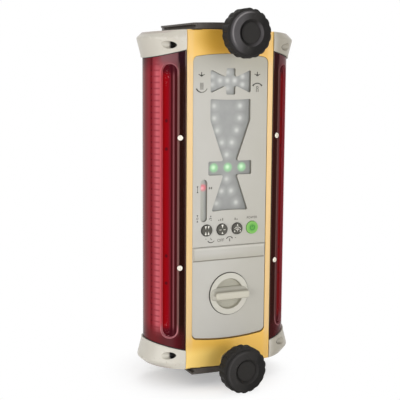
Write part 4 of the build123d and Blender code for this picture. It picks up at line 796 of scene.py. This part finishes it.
# Marks on the panel, as (x, z) in millimetres about the places of their groups
panelArt = {
    "arrows": {
        "at": ((-32.4, 127.4), (29.8, 128.0)),
        "dark": (("line", ((0, 2.5), (0, -0.6)), 0.9), ("wedge", (0, -1.2, 2.4, -90), 2.6),
                 ("line", ((-3.3, 0.2), (-1.8, -0.4), (-0.6, -1.6)), 0.765),
                 ("line", ((3.3, 0.2), (1.8, -0.4), (0.6, -1.6)), 0.765))},
    "bucket": {                          # slats over a bow
        "at": ((-32.2, 116.0),),
        "dark": (("arc", (0, 0.4, 6.4, 205, 270), (1.5, 0.9)),),
        "grey": (*[("line", ((-2, z), (2, z)), 0.7) for z in (3.0, 1.85, 0.7, -0.45, -1.6, -2.75)],
                 ("arc", (0, 0.4, 6.4, 272, 336), 0.9))},
    "blade": {                           # a bow over a ring and two legs
        "at": ((29.9, 114.6),),
        "dark": (("arc", (0, -2.0, 6.4, 35, 145), (1.9, 1.1, 1.1, 1.1, 1.1, 1.9)),
                 ("ring", (0, 0.3, 1.05, 0, 345, 24), 0.55)),
        "grey": [("line", ((x, -1.0), (x, -4.4)), 0.9) for x in (-1, 1)]},
    "levelSlot": {                       # a closed pair of wedges above, an open pair with a ring below
        "at": ((-36.1, 0),),
        "dark": (("wedge", (0, 15.7, 2.0, -90), 2.0), ("wedge", (0, 11.0, 2.0, 90), 2.0),
                 ("line", ((0, 14.9), (0, 11.8)), 0.5), ("wedge", (0, -13.4, 1.7, -90), 2.0),
                 ("wedge", (0, -18.9, 1.7, 90), 2.0)),
        "grey": (("ring", (0, -16.1, 0.9, 0, 342, 20), 0.5),)},
    "slotRight": {                       # two posts and a rung above, a hook between wedges below
        "at": ((-21.0, 0),),
        "dark": (("wedge", (-0.3, -14.4, 1.5, 90), 1.8), ("arc", (-0.6, -17.6, 1.2, 20, 200), 0.6),
                 ("wedge", (0.3, -18.6, 1.4, -60), 1.5)),
        "grey": (*[("line", ((x, 15.4), (x, 13.1)), 1.3) for x in (-2.0, 0.4)],
                 ("line", ((-1.6, 14.3), (0, 14.3)), 0.6))},
    "underLeftKey": {                    # a hollow arc round a tick
        "at": ((-20.7, -37.4),),
        "dark": (("arc", (0, 0, 4.2, 212, 328), (1.1, 0.8, 0.5)),),
        "grey": (("line", ((-0.5, 0.8), (0.1, -1.0), (1.1, -1.2)), 0.8),
                 ("line", ((-6.3, 0.2), (-5.2, -0.5)), 0.7))},
    "underRightKey": {                   # a capped post
        "at": ((0.2, -40.6),),
        "dark": (("arc", (0, 0, 3.9, 28, 152), (1.2, 0.7, 1.2)),),
        "grey": (("line", ((0.1, 2.0), (0.1, -1.0)), 1.3), ("line", ((6.2, 2.8), (7.4, 2.2)), 0.7))},
    "middleBars": {                      # growing in height
        "at": ((-12.2, -19.7),),
        "grey": [("line", ((x, 0), (x, high)), 1.1) for x, high in ((0, 1.2), (2.2, 1.9), (4.4, 2.6))]},
    "rightBars": {
        "at": ((6.4, -19.9),),
        "grey": [("line", ((x, 0), (x, high)), 1.1) for x, high in ((0, 2.4), (2.2, 1.4))]}}


def panelMarks():
    shapes = {"dark": [], "grey": []}
    for group in panelArt.values():
        for at in group["at"]:
            for shade in shapes:
                shapes[shade] += draw(group.get(shade, ()), at, body["panelY"])
    makePiece("panelMarksDark", *joinShapes(shapes["dark"]), inks["darkInk"], "receiver", "black_plastic")
    makePiece("panelMarksGrey", *joinShapes(shapes["grey"]), inks["greyInk"], "receiver", "black_plastic")


# Words on the panel, made flat meshes and then put on its face: place and height, in millimetres
words = {"POWER": (25.8, -19.4, 2.5), "OFF": (-9.9, -41.3, 3.2)}
wordSolid = {"fontScale": 1.4, "half": 0.03, "bold": 0.05, "lift": 0.02, "steps": 3}


def panelWords():
    for text, (x, z, size) in words.items():
        curve = bpy.data.curves.new("word", "FONT")
        curve.body = text
        curve.size = size * wordSolid["fontScale"] * mm
        curve.align_x = "CENTER"
        curve.extrude = wordSolid["half"] * mm
        curve.offset = wordSolid["bold"] * mm
        curve.resolution_u = wordSolid["steps"]
        holder = bpy.data.objects.new("word", curve)
        scene.collection.objects.link(holder)
        bpy.context.view_layer.update()
        mesh = bpy.data.meshes.new_from_object(holder.evaluated_get(bpy.context.evaluated_depsgraph_get()))
        bpy.data.objects.remove(holder)
        mesh.transform(Matrix.Rotation(radians(90), 4, "X"))
        mesh.transform(Matrix.Translation(Vector((x, body["panelY"] - wordSolid["lift"], z)) * mm))
        mesh.materials.clear()
        mesh.materials.append(inks["greyInk"].material)
        piece = bpy.data.objects.new("panelWord" + text.title(), mesh)
        scene.collection.objects.link(piece)
        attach(piece, "receiver")


# Marks on the keys, about each key's middle
keyArt = {
    "leftKeyMarks": {
        "x": keyCaps["left_button"], "ink": "whiteInk", "body": "left_key", "slot": "black_plastic",
        "marks": [("wedge", (x, z, 3.3, tip), 2.0)
                  for x in (-1.6, 1.6) for z, tip in ((3.0, -90), (-2.7, 90))]},
    "middleKeyMarks": {
        "x": keyCaps["middle_button"], "ink": "whiteInk", "body": "middle_key", "slot": "black_plastic",
        "marks": (("wedge", (0, 3.3, 3.6, -90), 2.4), ("wedge", (0, -3.2, 2.2, 90), 1.9),
                  *[("line", ((side * 1.2, -0.2), (side * 3.4, -0.2)), 0.5) for side in (-1, 1)])},
    "rightKeyMarks": {
        "x": keyCaps["right_button"], "ink": "whiteInk", "body": "right_key", "slot": "black_plastic",
        "marks": (*[("arc", (0, -2.6, radius, 35, 145), 0.5) for radius in (2.3, 4.2)],
                  ("line", ((0, -2.8), (0, -0.9)), 0.6),
                  *[("wedge", (x, -2.4, 1.8, 90), 1.3) for x in (-3.2, 3.2)],
                  ("wedge", (0, 3.9, 1.7, 90), 1.6))},
    "powerKeyMark": {
        "x": keyRow["powerX"], "ink": "greenInk", "body": "power_key", "slot": "green_plastic",
        "marks": (("arc", (0, 0, 2.5, 118, 422, 41), 0.75), ("line", ((0, 0.5), (0, 3.1)), 0.75))}}


def keyMarks():
    for name, art in keyArt.items():
        shapes = draw(art["marks"], (art["x"], keyRow["z"]), keyRow["top"])
        makePiece(name, *joinShapes(shapes), inks[art["ink"]], art["body"], art["slot"])


panelMarks()
panelWords()
keyMarks()
print("marks made")

# Camera of the photograph: eye, aim and roll
camera = {"eye": (-417.5, -931.85, 130.1), "aim": (-33.6, -103.15, 2.93), "roll": 0.361, "lens": 82.85,
          "sensor": 36.0, "clipEnd": 50.0}


def placeCamera():
    data = bpy.data.cameras.new("camera")
    data.lens = camera["lens"]
    data.sensor_width = camera["sensor"]
    data.clip_end = camera["clipEnd"]
    eye, aim = Vector(camera["eye"]) * mm, Vector(camera["aim"]) * mm
    back = (eye - aim).normalized()
    right = Vector((0, 0, 1)).cross(back).normalized()
    up = back.cross(right)
    turn = radians(camera["roll"])
    right, up = cos(turn) * right + sin(turn) * up, cos(turn) * up - sin(turn) * right
    holder = bpy.data.objects.new("camera", data)
    rows = [(right[axis], up[axis], back[axis], eye[axis]) for axis in range(3)]
    holder.matrix_world = Matrix((*rows, (0, 0, 0, 1)))
    scene.collection.objects.link(holder)
    scene.camera = holder


# Soft studio: a key mirrored to the camera's side, a broad lamp to the left, one overhead, an even world and a
# white floor that fades into the backdrop. Each lamp is its place, its size in millimetres and its power.
studio = {"floorZ": -191.1, "worldLevel": 0.44, "floorSize": 12000.0, "fade": (0.55, 1.5), "floorLift": 0.06,
          "liftLevel": 5.0, "shadeAt": (-10.0, -50.0), "shadeSize": 75.0, "floorTone": (0.93, 0.925, 0.93, 1.0),
          "lamps": (((400, -1500, 0), 1100, 12.0), ((-1350, -800, -60), 1300, 15.0),
                    ((400, 300, 2000), 1400, 15.0))}


def areaLamp(place, size, power):
    data = bpy.data.lights.new("studioLamp", "AREA")
    data.shape = "DISK"
    data.size = size * mm
    data.energy = power
    lamp = bpy.data.objects.new("studioLamp", data)
    lamp.location = Vector(place) * mm
    lamp.rotation_euler = (-lamp.location).to_track_quat("-Z", "Y").to_euler()
    scene.collection.objects.link(lamp)


# 1 for rays from the camera, from gloss and through clear pieces, which all see the white background
def backdropRays(tree):
    path = addNode(tree, "ShaderNodeLightPath").socket.node
    seen, gloss, through = [Wire(tree, path.outputs[name])
                            for name in ("Is Camera Ray", "Is Glossy Ray", "Is Transmission Ray")]
    return seen.most(gloss).most(through)


def whiteWorld():
    world = bpy.data.worlds.new("studio")
    scene.world = world
    world.use_nodes = True
    tree = world.node_tree
    background = tree.nodes["Background"]
    level = backdropRays(tree) * (1.0 - studio["worldLevel"]) + studio["worldLevel"]
    putSocket(tree, background.inputs["Strength"], level)
    putSocket(tree, background.inputs["Color"], white)


def whiteFloor():
    half = studio["floorSize"] / 2
    square = ((-half, -half), (half, -half), (half, half), (-half, half))
    corners = np.array([(x, y, studio["floorZ"]) for x, y in square])
    mesh = bpy.data.meshes.new("floor")
    mesh.from_pydata((corners * mm).tolist(), [], [(0, 1, 2, 3)])
    f = Finish("floorWhite")
    aside, ahead = [(axis - at) / studio["shadeSize"] for axis, at in zip((f.x, f.y), studio["shadeAt"])]
    far = length(aside, ahead).ease(*studio["fade"])
    seen = backdropRays(f.tree)
    lift = f.add("ShaderNodeEmission", None, {"Color": white, "Strength": studio["liftLevel"]})
    plain = f.add("ShaderNodeEmission", None, {"Color": white, "Strength": 1.0})
    lifted = f.mixShaders(seen * studio["floorLift"], f.solid(), lift)
    f.show(f.mixShaders(far * seen, lifted, plain))
    f.set(colour=studio["floorTone"], roughness=0.9)
    mesh.materials.append(f.material)
    floor = bpy.data.objects.new("floor", mesh)
    scene.collection.objects.link(floor)


placeCamera()
for lamp in studio["lamps"]:
    areaLamp(*lamp)
whiteWorld()
whiteFloor()
print("camera and studio set")
